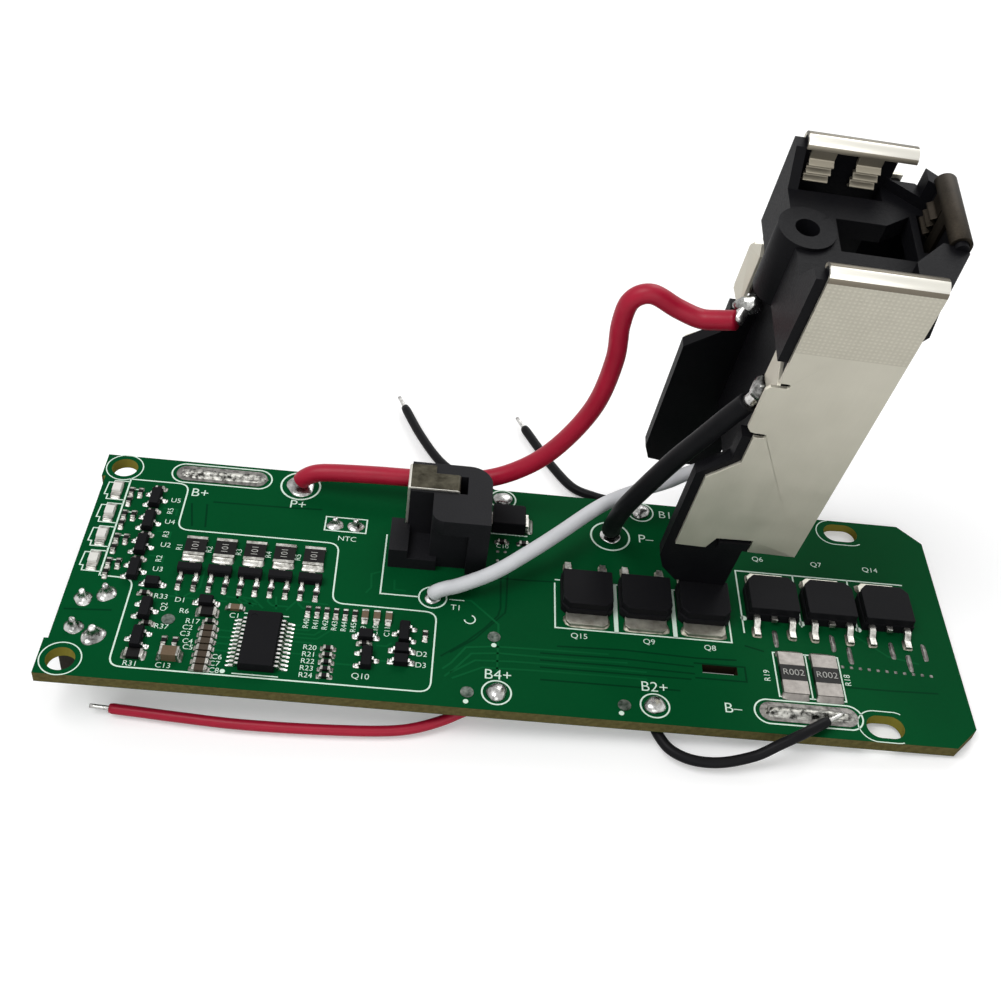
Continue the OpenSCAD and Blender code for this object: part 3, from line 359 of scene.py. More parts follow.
def nickelFinish(name, low, high, hard, dots):
    f = Finish(name)
    back = leanTurn.inverted().to_euler("XYZ")
    origin = onTower((0, 0, 0))
    moved = f.node("ShaderNodeVectorMath", {"operation": "SUBTRACT"}, {0: f.place, 1: tuple(origin)})
    values = {"Vector": moved, "Rotation": tuple(back), "Scale": (1000, 1000, 1000)}
    own = f.node("ShaderNodeMapping", None, values)  # the tower's own mm
    drawn = f.node("ShaderNodeMapping", None, {"Vector": own, "Scale": (6.0, 6.0, 0.12)})
    line = f.noise(1.0, 4, 0.6, drawn)
    cloud = f.noise(0.22, 4, 0.55, own)
    colour = f.mix(0.5 + (cloud * 0.65 + line * 0.35 - 0.5) * hard, low, high)
    height = line * 0.12
    rough = nickelLook["rough"] + (cloud - 0.5) * 0.16 + (line - 0.5) * 0.10
    if dots:
        w, depth, up = (f.axis(q, own) for q in range(3))
        dotFrom, dotTo, bandTo = nickelLook["levels"]
        outer = (depth < nickelLook["outer"][0]) + (depth > nickelLook["outer"][1])
        zone = outer * (up > dotFrom) * (up < dotTo)
        turn = 2 * math.pi / nickelLook["pitch"]
        sine = {"operation": "SINE"}
        across, along = (0.5 + 0.5 * f.node("ShaderNodeMath", sine, {0: q * turn}) for q in (w, up))
        dot = across * along
        # painted shadow band under the rolled top, on the outer faces
        shadowBand = outer * (up > dotTo) * (up < bandTo)
        height = height + zone * dot * 0.8
        rough = rough + zone * 0.06 - (up > bandTo) * 0.16
        # painted shade between the dots and in the shadow band
        colour = f.mix(zone * (1 - dot) * 0.14 + shadowBand * 0.8, colour, nickelLook["underRollShadow"])
        innerFrom, innerTo = nickelLook["inner"]
        inside = (depth > innerFrom) * (depth < innerTo) * (up > dotFrom)
        rollFrom, rollTo = nickelLook["backRoll"]
        # the side of each roll that looks forward, which gets the painted highlight; the other side gets
        # painted shade
        litSide = (depth < nickelLook["frontRoll"]) + (depth > rollFrom) * (depth < rollTo)
        # painted shade on the inner faces
        colour = f.mix(inside * 0.8, colour, nickelLook["leaf"])
        # painted highlight on the forward side of each roll, painted shade on its crest and rear side
        top = f.mix(litSide, nickelLook["crestShade"], nickelLook["roll"])
        colour = f.mix((up > bandTo) * 0.9, colour, top)
    f.set(Metallic=1.0, Base_Color=colour, Roughness=rough)
    f.bump(height, 0.00005, 0.5)
    return f


plateFinish = nickelFinish("contactNickel", (0.55, 0.525, 0.445), (0.69, 0.665, 0.575), 1.2, True)
# painted shade: the side contact and the switch bracket get a nearly black copy of the contact nickel
shadedNickelFinish = nickelFinish("shadedSideNickel", (0.010, 0.008, 0.006), (0.048, 0.040, 0.031), 2.6, False)

clipLook = {
    "front": 7.75, "left": 41.05, "dark": (0.016, 0.014, 0.009), "light": (0.070, 0.064, 0.046),
    "bright": (0.66, 0.64, 0.58), "rough": 0.34
}
f = clipFinish = Finish("clipNickel")  # dark cloudy sheet, with a painted highlight on its front and left ends
cloud = f.noise(700, 5, 0.65)
frontEdge = f.axis(1) < clipLook["front"] * mm
leftEdge = f.axis(0) < (clipLook["left"] - gaugeEnd) * mm
cloudySheet = f.mix(0.5 + (cloud - 0.5) * 2.4, clipLook["dark"], clipLook["light"])
# painted highlight: the front and left ends of the clip are lighter
f.set(Base_Color=f.mix(frontEdge + leftEdge, cloudySheet, clipLook["bright"]))
f.set(Metallic=1.0, Roughness=clipLook["rough"] + cloud * 0.2)
f.bump(cloud, 0.00004, 0.5)

# board: green mask over copper, olive laminate on the cut edges and in the holes
maskLook = {
    "overCopper": (0.0012, 0.076, 0.020), "overBare": (0.001, 0.046, 0.0135),
    "laminate": (0.20, 0.175, 0.066), "burnt": (0.055, 0.046, 0.018), "slotShade": (0.022, 0.014, 0.008),
    "drilled": (0.23, 0.20, 0.035), "faces": (-0.00003, -0.00157), "slot": (0.070, 0.085, -0.0112, -0.0085),
    "rim": (-0.0024, 0.103, 0.0183), "rough": 0.66, "gloss": 0.30, "shine": 0.010, "threads": 1400.0,
    "plies": 26000.0
}
f = boardFinish = Finish("solderMask")
height = f.axis(2)
cloud = f.noise(45, 4)
weave = f.noise(1800, 2)
cloth = {"Vector": f.place, "Scale": maskLook["threads"], "Mortar Size": 0.06}
thread = f.node("ShaderNodeTexBrick", {"offset": 0.5}, cloth, out="Fac")
plies = f.node("ShaderNodeMath", {"operation": "SINE"}, {0: height * maskLook["plies"]})
face = (height > maskLook["faces"][0]) + (height < maskLook["faces"][1])
green = f.mix(cloud * 0.8 + weave * 0.2, maskLook["overBare"], maskLook["overCopper"])
edge = f.mix(plies * 0.25 + weave * 0.6, maskLook["burnt"], maskLook["laminate"])
along, across = f.axis(0), f.axis(1)
slotLeft, slotRight, slotFront, slotRear = maskLook["slot"]
# the narrow slot's walls, darkened with painted shade
milled = (across > slotFront) * (across < slotRear) * (along > slotLeft) * (along < slotRight)
# painted shade on the slot's walls
edge = f.mix(milled, edge, maskLook["slotShade"])
rimLeft, rimRight, rimSide = maskLook["rim"]
aside = f.node("ShaderNodeMath", {"operation": "ABSOLUTE"}, {0: across})
inner = (aside < rimSide) * (along > rimLeft) * (along < rimRight)  # drilled walls
edge = f.mix(inner * (1 - milled), edge, maskLook["drilled"])
f.set(Base_Color=f.mix(face, edge, green), Specular_IOR_Level=maskLook["shine"])
f.set(Roughness=maskLook["rough"] - face * maskLook["gloss"] + weave * 0.08)
f.bump(weave * 0.4 + cloud * 0.4 + thread * 0.2, 0.00003, 0.35)


def lineFinish(name, dark, light, rough, shine):  # mask over a thin line of copper or of bare laminate
    f = Finish(name)
    cloud = f.noise(60, 4)
    weave = f.noise(1800, 2)
    f.set(Base_Color=f.mix(cloud, dark, light), Roughness=rough + weave * 0.10, Specular_IOR_Level=shine)
    f.bump(weave, 0.00002, 0.4)
    return f


def inkFinish(name, dark, light, grain, rough, spread):  # printed ink with a slightly broken tone
    f = Finish(name)
    fleck = f.noise(grain, 3)
    f.set(Base_Color=f.mix(fleck, dark, light), Roughness=rough + fleck * spread, Specular_IOR_Level=0.2)
    return f


traceFinish = lineFinish("coveredCopper", (0.0015, 0.070, 0.019), (0.003, 0.098, 0.029), 0.34, 0.014)
gapFinish = lineFinish("bareGap", (0.0006, 0.026, 0.009), (0.001, 0.042, 0.013), 0.36, 0.010)
legendFinish = inkFinish("legendInk", (0.50, 0.68, 0.55), (0.76, 0.88, 0.80), 5200, 0.55, 0.15)
codeFinish = inkFinish("codeInk", (0.20, 0.20, 0.19), (0.50, 0.50, 0.47), 4200, 0.5, 0.2)
print("board finishes made")

# CAD nodes keep their shape, with small edge rounds
nodesOf = {
    boardFinish: ["circuit_board"],
    dullFinish: ["cell_slot_solder"],
    padFinish: ["test_pads"],
    ledFinish: ["led_bodies"],
    lensFinish: ["led_lenses"],
    tinFinish: [
        "led_terminals", "chip_ends", "balance_terminals", "power_diode_terminals", "fet_leads", "switch_pins"
    ],
    epoxyFinish: ["transistor_bodies", "controller_body", "power_diode", "fet_bodies"],
    leadFinish: ["transistor_leads", "controller_leads"],
    filmFinish: ["chip_resistors", "balance_resistors", "shunt_bodies"],
    ceramicFinish: ["chip_capacitors"],
    shuntFinish: ["shunt_terminals"],
    tabFinish: ["fet_tabs"],
    holderFinish: ["contact_holder"],
    clipFinish: ["holder_clip"],
    housingFinish: ["switch_body", "tower_housing"],
    shadedNickelFinish: ["switch_bracket", "sense_contact"],
    buttonFinish: ["switch_plunger"],
    plateFinish: ["negative_contact", "positive_contact"],
    solderFinish: ["wire_joints", "pin_joints", "tower_solder"],
    strandFinish: ["bare_tips"]
}
edgeRound = {
    "contact_holder": 0.25, "tower_housing": 0.16, "fet_bodies": 0.12, "controller_body": 0.08,
    "power_diode": 0.10, "transistor_bodies": 0.05, "switch_body": 0.12, "negative_contact": 0.06,
    "positive_contact": 0.06, "sense_contact": 0.06, "holder_clip": 0.06, "fet_tabs": 0.06,
    "shunt_terminals": 0.05, "switch_plunger": 0.2
}
edgeLook = {"weld": 0.000002, "segments": 2, "angle": 40}
for finish, names in nodesOf.items():
    for name in names:
        paint(nodes[name], finish)
for name, width in edgeRound.items():
    weld = nodes[name].modifiers.new("joinCorners", "WELD")
    weld.merge_threshold = edgeLook["weld"]
    bevel = nodes[name].modifiers.new("edgeRound", "BEVEL")
    bevel.width, bevel.segments, bevel.limit_method = width * mm, edgeLook["segments"], "ANGLE"
    bevel.angle_limit = math.radians(edgeLook["angle"])
    bevel.use_clamp_overlap, bevel.harden_normals = True, False
print("CAD nodes painted")

# wires: the CAD routes again, in millimetres
redCover = {"finish": redSleeve, "slot": "red_sleeve"}
blackCover = {"finish": blackSleeve, "slot": "black_sleeve"}
powerWire = {"diameter": 2.4, "far": "object"}
senseWire = {"diameter": 1.3, "far": "bare"}
wires = {
    "redPowerWire": {
        "node": "positive_wire", **redCover, **powerWire, "side": (0, 1, 0),
        "route": [
            (26.2, 15.9, 0.9), (26.8, 15.9, 1.7), (28.2, 15.9, 2.6), (30.4, 15.8, 3.1), (36, 15.6, 3.6),
            (43, 15.5, 3.9), (50.5, 15.5, 4.8), (56, 15.4, 8), (60, 15.3, 12.8), (63.2, 15.1, 19.6),
            (64.4, 14.9, 27), (64.2, 14.7, 32.6), (64.8, 14.5, 36.2), (67, 14.3, 37.5), (70.3, 14.1, 36),
            (73, 13.4, 35.4), (75.1, 12.6, 36), (76.9, 11.8, 36.8)
        ]
    },
    "blackPowerWire": {
        "node": "negative_wire", **blackCover, **powerWire, "side": (1, 0, 0),
        "route": [
            (68.2, 11.7, 0.9), (68.2, 11.5, 2), (67.7, 9.8, 3.5), (68.1, 6.8, 10.1), (69.7, 4.4, 16.6),
            (71.8, 2.8, 22.5), (73.7, 1.6, 26.9), (75.5, 0.4, 31.2), (76.7, -0.3, 33.8), (77.2, -0.6, 34.9)
        ]
    },
    "whiteSignalWire": {
        "node": "signal_wire", "finish": whiteSleeve, "slot": "white_sleeve", "diameter": 1.9,
        "far": "object", "side": (0, 1, 0),
        "route": [
            (45.1, -2, 0.6), (45.5, -2, 1.2), (46.6, -1.8, 1.7), (48.4, -1.2, 1.9), (52.6, 0.6, 2.9),
            (56.9, 3.6, 4), (60.7, 7, 4.5), (65.2, 11.4, 4.9), (68.1, 13.6, 5.2), (71.3, 14.4, 6.5),
            (74.5, 14.2, 8.6), (76.5, 13.6, 10.8), (80.5, 12.6, 14.3), (83.4, 11.8, 16.2), (86.6, 10.7, 20),
            (88.6, 9.6, 25.6), (89.6, 8, 33.6), (90.2, 6.7, 40.6), (90.8, 6.3, 46.2)
        ]
    },
    "senseLeadOne": {
        "node": "sense_wire_1", **blackCover, **senseWire, "side": (1, 1, 0), "joint": (72.6, 16.9, 0.5),
        "route": [
            (72.6, 17.4, -2.3), (72, 19.2, -2.3), (70, 20.8, -2.3), (66.8, 21.6, -2.3), (63.6, 23.4, -2.5),
            (60.6, 27.8, -2.6), (58.6, 31.6, -2.6), (56.7, 35.3, -2.6)
        ]
    },
    "senseLeadTwo": {
        "node": "sense_wire_2", **blackCover, **senseWire, "side": (0.36, 0.93, 0),
        "joint": (72.5, -16.1, 0.6),
        "route": [
            (72.6, -16.6, -2.4), (73.2, -18.4, -2.5), (74.6, -20.4, -2.6), (77.2, -21.6, -2.6),
            (80.6, -21.8, -2.3), (84.4, -21.2, -1.3), (87, -20.4, 0.1), (89.6, -19.3, 1), (93.1, -17.1, 1.1)
        ]
    },
    "senseLeadThree": {
        "node": "sense_wire_3", **blackCover, **senseWire, "side": (0.82, 0.57, 0),
        "joint": (53.6, 16.9, 0.45),
        "route": [
            (53.6, 17.4, -2.3), (53.2, 19.4, -2.4), (51.6, 21.2, -2.6), (48.4, 23.4, -2.9),
            (44.8, 26.8, -3.2), (41.6, 32.2, -3.3), (38.8, 38.3, -3.3)
        ]
    },
    "senseLeadFour": {
        "node": "sense_wire_4", **redCover, **senseWire, "side": (0, 1, 0), "joint": (53.5, -16.1, 0.6),
        "route": [
            (53, -16.2, -2.4), (50.6, -16.6, -3), (47.2, -17.8, -4.2), (43.8, -18.8, -4.8),
            (40.2, -19.2, -5.2), (34.4, -19.4, -5.5), (28.4, -19.4, -5.8), (22.4, -19.2, -6.1),
            (16.5, -18.7, -6.4), (11.8, -18.2, -6.7), (8, -17.9, -6.8)
        ]
    }
}
wireLook = {"steps": 9, "columns": 20, "cutEnd": 0.86, "lineEnd": 0.04}
strands = {
    "length": 2.6, "count": 7, "lay": 0.20, "core": 0.27, "wire": 0.12, "turns": 0.9, "rows": 14,
    "columns": 8, "gather": 0.35, "inside": 0.2, "butt": 0.04, "reach": (0.6, 1.2, 1.8),
    "drop": (0, 0.6, 1.2, 1.7)
}


def strandStack(end, ahead):
    # each strand is a thin tube along a helix about the wire's end direction, on a circle of the lay radius
    s = np.linspace(0, 1, strands["rows"])
    n = unit(np.cross(ahead, (0, 0, 1.0)))
    b = np.cross(n, ahead)
    angle = fullTurn(strands["count"] - 1)[:, None] + 2 * np.pi * strands["turns"] * s[None]
    lay = strands["lay"] * (1 - strands["gather"] * s)[None] * mm
    run = end + ahead * (s * strands["length"] * mm)[:, None]
    paths = run[None] + (np.cos(angle) * lay)[..., None] * n + (np.sin(angle) * lay)[..., None] * b
    paths = np.concatenate([paths, run[None]])
    return np.stack([tubeStack(p, strands["wire"] * mm, (0.3, 0.2, 1.0), strands["columns"]) for p in paths])


for name, w in wires.items():
    path = onBoard(smoothRoute(w["route"], wireLook["steps"]))
    radius = np.full(len(path), w["diameter"] / 2 * mm)
    radius[[0, -1]] *= wireLook["cutEnd"]  # cut sleeve ends are slightly rounded
    tips = []
    if w["far"] == "bare":  # the core runs on past the sleeve, inside its strands
        ahead = unit(path[-1] - path[-2])
        bundle = strandStack(path[-1] - ahead * strands["inside"] * mm, ahead)
        tip = addPiece(name + "Strands", bundle, strandFinish, "solder")
        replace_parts(tip, "bare_tips")
        tips = [tip]
        reach = [strands["butt"], *strands["reach"], strands["length"] - strands["inside"]]
        reach = np.array(reach)[:, None] * mm
        joint = onBoard(w["joint"])
        # the bared core comes through the board from its joint
        down = joint + np.array([0, 0, -1.0]) * np.array(strands["drop"])[:, None] * mm
        start = path[0] - unit(path[1] - path[0]) * strands["butt"] * mm
        path = np.vstack([down, start, path, path[-1] + ahead * reach])
        foot, nose = (np.full(n, strands["core"] * mm) for n in (len(down) + 1, len(reach)))
        radius = np.concatenate([foot, radius, nose])
    tube = tubeStack(path, radius, w["side"], wireLook["columns"])
    piece = addPiece(name, tube[None], w["finish"], w["slot"])
    if tips:  # the core's own metal on the first and last rows and on both ends
        bare = np.zeros(len(path) - 1, int)
        bare[:len(down)] = bare[-len(reach) + 1:] = 1
        bare = np.append(np.repeat(bare, wireLook["columns"]), [1, 1])
        piece.data.materials.append(strandFinish.material)
        piece.data.polygons.foreach_set("material_index", bare)
    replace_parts(piece, w["node"])
    # the line ends just inside the tube
    path[-1] += (path[-2] - path[-1]) * wireLook["lineEnd"]
    w["diameter"] * mm
    "taut" if w["far"] == "object" else "loose"
jointSpots = [w.get("joint", w["route"][0])[:2] for w in wires.values()]
print("wires laid")

# solder on the board: every part's pads with the solder that climbs its ends, in millimetres
tinyPlaces = [
    (10, -5.5, 0), (11.25, -10.2, 0), (13.8, -12.7, 90), (15.1, -12.7, 90), (18.6, -9.1, 0), (37.3, -10.5, 0),
    (44.55, -8.4, 90), (53.6, 8.7, 0), (56.5, 8.7, 0)
]
gaugeSteps = [4.25 * i for i in range(4)]  # from one gauge light to the next
for q in gaugeSteps:
    tinyPlaces += [(4.6, 11.8 - q, 90), (4.6, 10.1 - q, 90), (5.75, 11.8 - q, 90), (8.05, 12.8 - q, 0)]
balanceX = [14.65 + 3.75 * i for i in range(5)]
tinyPlaces += [(x + s * 0.95, -3.5, 90) for x in balanceX for s in (-1, 1)]
tinyPlaces += [(33.1, -11.7 - 1.05 * i, 0) for i in range(5)] + [(30 + 1.15 * i, -6.1, 90) for i in range(6)]
smallPlaces = [(37 + 1.45 * i, -6.1, 90) for i in range(3)] + [(21.2, -6.6, 0)]
smallPlaces += [(18.6, -10.2 - 1.02 * i, 0) for i in range(7)]
transistorPlaces = [(7.95, 10.7 - q, 0) for q in gaugeSteps]
transistorPlaces += [(10.7, -8.2, 0), (10.7, -12.7, 180), (37.8, -12.9, 0), (42, -8.5, 180)]
diodePlaces = [(10.6, -3.9, 0), (17.6, -6.2, 0), (37.4, -9.4, 0), (41.9, -11.1, 0), (41.9, -12.8, 0)]
fetPlaces = [(64.6, 0, 0), (72.1, 0, 0), (79.6, 0, 0), (88.7, 1.9, 180), (96.2, 1.9, 180), (103.7, 1.9, 180)]
lightPlaces = [(2.7, 12 - q, 0) for q in gaugeSteps]
shuntX = (90.1, 94.3)
shuntPlaces = [(x, -9.7, 0) for x in shuntX]
cellSlots = ((15.6, 16.4), (91.3, -15.5))
controllerRows = [-3.465 + 0.63 * i for i in range(12)]
chipEnd = {"out": 0.10, "in": 0.05, "foot": 0.36, "top": 0.11, "slim": 0.01, "climb": 0.75}


def chipPads(length, width, height, margin=0.10):
    # both ends of a chip: centre, half size, inner centre, inner half size, rise
    outer, inner = length / 2 + chipEnd["out"], length / 2 - chipEnd["in"]
    foot, top = (chipEnd["foot"], width / 2 + margin), (chipEnd["top"], width / 2 - chipEnd["slim"])
    return [((s * outer, 0), foot, (s * inner, 0), top, chipEnd["climb"] * height) for s in (-1, 1)]


def mirrored(centre, half, innerCentre, innerHalf, rise):  # the same pad at both ends of a part
    (x, y), (ix, iy) = centre, innerCentre
    return [((s * x, s * y), half, (s * ix, s * iy), innerHalf, rise) for s in (-1, 1)]


def threeFeet(pairX, half, inner):  # two feet on one side of a small transistor and one on the other
    spots = ((-pairX, -0.95), (-pairX, 0.95), (1.12, 0))
    return [((x, y), half, (inner * x, y), (0.24, 0.20), 0.24) for x, y in spots]


balanceFeet = [((0, -1.82), (1.42, 0.52), (0, -1.55), (1.28, 0.16), 0.46),
               ((0, 1.66), (1.38, 0.36), (0, 1.52), (1.28, 0.14), 0.46)]
feet = [(s, y) for s in (-1, 1) for y in controllerRows]
controllerFeet = [((s * 3.14, y), (0.56, 0.155), (s * 3.00, y), (0.36, 0.125), 0.09) for s, y in feet]
fetFeet = [((x, 5.0), (0.62, 0.95), (x, 4.85), (0.40, 0.70), 0.24) for x in (-2.285, 2.285)]
# places, then the pads of one part
solderPads = {
    "tinyChip": (tinyPlaces, chipPads(1.1, 0.55, 0.45)),
    "smallChip": (smallPlaces, chipPads(1.6, 0.8, 0.45, -0.02)),
    "mediumChip": ([(10.75, -15, 0), (18, -7.7, 0)], chipPads(2.0, 1.25, 0.55)),
    "largeChip": ([(14.9, -14.8, 0)], chipPads(2.2, 1.4, 1.0)),
    "gullFoot": (transistorPlaces, threeFeet(1.12, (0.42, 0.36), 0.88)),
    "balanceLead": ([(x, -1.1, 90) for x in balanceX], threeFeet(1.32, (0.62, 0.42), 0.84)),
    "diodeFoot": (diodePlaces, mirrored((1.25, 0), (0.46, 0.42), (1.08, 0), (0.22, 0.25), 0.3)),
    "lightFoot": (lightPlaces, mirrored((0, 1.34), (0.66, 0.36), (0, 1.24), (0.58, 0.16), 0.25)),
    "balanceFoot": ([(x, 2.8, 0) for x in balanceX], balanceFeet),
    "controllerFoot": ([(25.1, -11.9, 0)], controllerFeet),
    "shuntFoot": (shuntPlaces, mirrored((0, 3.28), (1.74, 0.62), (0, 3.08), (1.58, 0.18), 0.5)),
    "rectifierFoot": ([(54.4, 12, 0)], mirrored((2.75, 0), (0.6, 1.35), (2.5, 0), (0.2, 1.1), 0.7)),
    "fetFoot": (fetPlaces, fetFeet),
    "cellSeam": ([(*spot, 0) for spot in cellSlots], [((0, 0), (5.9, 1.05), (0, 0), (4.8, 0.35), 0.6)]),
    "fetTab": (fetPlaces, [((0, -3.95), (2.95, 0.98), (0, -3.7), (2.66, 0.75), 0.36)]),
}


padShape = {
    "inward": (0, 0, 0.3, 0.6, 0.85, 1.0), "foot": (0, 0.02, 0.02, 0.02, 0.02, 0.02), "columns": 16,
    "uneven": 0.05, "hollow": 1.7
}


def squarish(v):  # a cosine or sine for a superellipse: its sign with the square root of its size
    return np.sign(v) * np.abs(v) ** 0.5


def solderStack(places, pads):
    # outline of a pad is a superellipse that shrinks from the pad's size to the lead's size while its height
    # rises as a power of the way in, so the surface is hollow like drawn-up solder, uneven by a slow sine
    at = np.array(places, float)[:, None]
    rows = np.array([[*c, *h, *ic, *ih, z] for c, h, ic, ih, z in pads])[None]
    k = at.shape[0] * rows.shape[1]
    both = (np.broadcast_to(v, (len(places), len(pads), v.shape[2])) for v in (at, rows))
    at, rows = (v.reshape(k, 1, 1, -1) for v in both)
    inward, lift = (np.array(padShape[key])[None, :, None] for key in ("inward", "foot"))
    turn = fullTurn(padShape["columns"])[None, None]
    uneven = 1 + padShape["uneven"] * np.sin(3 * turn + at[..., 0] * 7 + at[..., 1] * 3 + rows[..., 0])
    shrunk = [rows[..., q] + (rows[..., q + 4] - rows[..., q]) * inward for q in range(4)]
    middleX, middleY, halfX, halfY = shrunk
    x = middleX + halfX * squarish(np.cos(turn)) * uneven
    y = middleY + halfY * squarish(np.sin(turn)) * uneven
    z = lift + rows[..., 8] * inward ** padShape["hollow"] + 0 * turn
    angle = np.radians(at[..., 2])
    right = at[..., 0] + x * np.cos(angle) - y * np.sin(angle)
    back = at[..., 1] + x * np.sin(angle) + y * np.cos(angle)
    return onBoard(np.stack([right, back, z], -1))


padMetal = {
    "fetTab": tabSolder, "balanceFoot": tinFinish, "balanceLead": leadFinish, "gullFoot": leadFinish,
    "diodeFoot": leadFinish, "controllerFoot": leadFinish, "shuntFoot": shuntFinish, "fetFoot": tabSolder,
    "cellSeam": seamFinish
}
for name, (places, pads) in solderPads.items():
    addPiece(name + "Solder", solderStack(places, pads), padMetal.get(name, tinFinish), "solder")
print("pads soldered")

# solder lumps on wires and pins: radius and height of each profile
domeProfile = np.array([
    (1.0, -0.03), (1.0, 0.04), (0.95, 0.30), (0.84, 0.56), (0.66, 0.78), (0.44, 0.92), (0.2, 0.99),
    (0.02, 1.0)
])
coneProfile = np.array([
    (1.0, -0.02), (0.98, 0.03), (0.74, 0.14), (0.54, 0.32), (0.42, 0.56), (0.36, 0.80), (0.34, 0.96),
    (0.30, 1.28), (0.2, 1.36), (0.02, 1.38)
])


lumpLook = {
    "columns": 26, "waves": (2, 3, 5), "shares": (0.5, 0.35, 0.2), "sag": 0.6, "boardSeed": 7,
    "towerSeed": 31, "towerSwell": 0.36
}


def lumpStack(profile, spot, axes, radius, height, seed, swell):
    # the profile turned about its axis: its radius swells by three sines of the angle, its height by one
    rng = np.random.default_rng(seed)
    turn = fullTurn(lumpLook["columns"])[None]
    waves = zip(lumpLook["waves"], lumpLook["shares"], rng.uniform(0, 6.28, 3))
    shape = 1 + swell * sum(a * np.sin(q * turn + b) for q, a, b in waves)
    rho, rise = profile[:, :1], profile[:, 1:]
    sag = 1 + swell * lumpLook["sag"] * rho * np.sin(turn + rng.uniform(0, 6.28))
    x, y, z = np.array(axes)
    around = np.cos(turn)[..., None] * x + np.sin(turn)[..., None] * y
    flat = (rho * radius * shape)[..., None] * around
    return spot + flat + (rise * height * sag)[..., None] * z


upright = ((1, 0, 0), (0, 1, 0), (0, 0, 1))
fromLeft = ((0, 1, 0), (0, 0, 1), (-1, 0, 0))
fromFront = ((1, 0, 0), (0, 0, 1), (0, -1, 0))
jointSizes = [(1.95, 0.4), (1.35, 0.25), (1.1, 0.4), (1.3, 0.7), (1.3, 0.8), (1.3, 0.6), (1.3, 0.8)]
boardLumps = {
    "wireSolder": {
        "node": "wire_joints", "profile": domeProfile, "swell": 0.12,
        "spots": [(*spot, *size) for spot, size in zip(jointSpots, jointSizes)]
    },
    "pinSolder": {
        "node": "pin_joints", "profile": coneProfile, "swell": 0.14,
        "spots": [
            (2.95, -7.05, 1.15, 1.15), (2.95, -11.55, 1.15, 1.15), (5.5, -5.975, 1.25, 1.2),
            (5.5, -12.625, 1.45, 1.2), (31.6, 9.2, 1.05, 0.9), (34.3, 9.2, 1.05, 0.9)
        ]
    }
}
for name, look in boardLumps.items():
    shape, swell = look["profile"], look["swell"]
    rows = enumerate(look["spots"], lumpLook["boardSeed"])
    stack = np.stack([lumpStack(shape, (x, y, 0), upright, r, h, seed, swell) for seed, (x, y, r, h) in rows])
    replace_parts(addPiece(name, onBoard(stack), solderFinish, "solder"), look["node"])
towerLumps = [
    ((3.2, 3.5, 34.05), fromLeft, 1.35, 1.2), ((3.0, 17.4, 33.35), fromFront, 1.4, 1.3),
    ((16.6, 11.85, 43.15), fromLeft, 1.2, 1.1)
]
rows = enumerate(towerLumps, lumpLook["towerSeed"])
stack = np.stack([lumpStack(domeProfile, *lump, seed, lumpLook["towerSwell"]) for seed, lump in rows])
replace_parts(addPiece("towerSolderLumps", onTower(stack), solderFinish, "solder"), "tower_solder")
ends = [wires[name]["route"][-1] for name in ("blackPowerWire", "redPowerWire")]
coreLook = {"radius": 0.75, "start": -0.1, "rows": 6, "columns": 16, "side": (1, 0, 0.2)}
# bared copper on a straight line from each power wire's end into its lump
share = np.linspace(coreLook["start"], 1, coreLook["rows"])[:, None]
lines = [onBoard(end) * (1 - share) + onTower(lump[0]) * share for end, lump in zip(ends, towerLumps)]
size = (coreLook["radius"] * mm, coreLook["side"], coreLook["columns"])
stack = np.stack([tubeStack(line, *size) for line in lines])
addPiece("baredPowerCores", stack, strandFinish, "solder")
print("joints soldered")

# printed legend: lines, rings and slots as flat ribbons just above the mask
legend = {
    "height": 0.024, "line": 0.2, "edge": 0.22, "thin": 0.16, "box": 0.18, "ring": 0.24, "bar": 0.55,
    "hole": 0.15, "slot": 0.14, "corner": 1.5, "cornerSteps": 7, "cornerShare": 0.48, "arcStep": 9,
    "mitreLeast": 0.3
}


def ribbon(points, width, closed=False, level=None):
    # strip of even width along a flat line: each corner moves out along the mean of its two edge normals
    p = np.asarray(points, float)
    if closed:
        p = np.vstack([p, p[:1]])
    t = unit(np.diff(p, axis=0))
    before = np.vstack([t[-1:] if closed else t[:1], t])
    after = np.vstack([t, t[:1] if closed else t[-1:]])
    n1, n2 = (np.stack([-v[:, 1], v[:, 0]], 1) for v in (before, after))
    mitre = (n1 + n2) / (1 + (n1 * n2).sum(1, keepdims=True)).clip(legend["mitreLeast"])
    both = np.stack([p - mitre * width / 2, p + mitre * width / 2], 1)
    high = np.full(both.shape[:2] + (1,), legend["height"] if level is None else level)
    return onBoard(np.concatenate([both, high], 2))[None]


def eased(points, radius):
    # every inner corner becomes a quadratic curve that starts and ends the given way from the corner
    p = np.asarray(points, float)
    a, b, c = p[:-2], p[1:-1], p[2:]
    arms = [(v, np.linalg.norm(v, axis=1, keepdims=True)) for v in (a - b, c - b)]
    start, end = (b + v / far * np.minimum(radius, far * legend["cornerShare"]) for v, far in arms)
    s = np.linspace(0, 1, legend["cornerSteps"])[None, :, None]
    bend = (1 - s) ** 2 * start[:, None] + 2 * s * (1 - s) * b[:, None] + s ** 2 * end[:, None]
    return np.vstack([p[:1], bend.reshape(-1, 2), p[-1:]])


def arcLine(x, y, radius, first=0, last=360, stretch=0.0):
    # circle, or a slot where the right and left halves part by the stretch
    sweep = abs(last - first)
    a = np.radians(np.linspace(first, last, max(8, int(sweep / legend["arcStep"])), endpoint=sweep < 359))
    return np.stack([x + radius * np.cos(a) + np.sign(np.cos(a)) * stretch / 2, y + radius * np.sin(a)], 1)


def ring(x, y, radius, width, stretch=0.0):
    return ribbon(arcLine(x, y, radius, stretch=stretch), width, True)


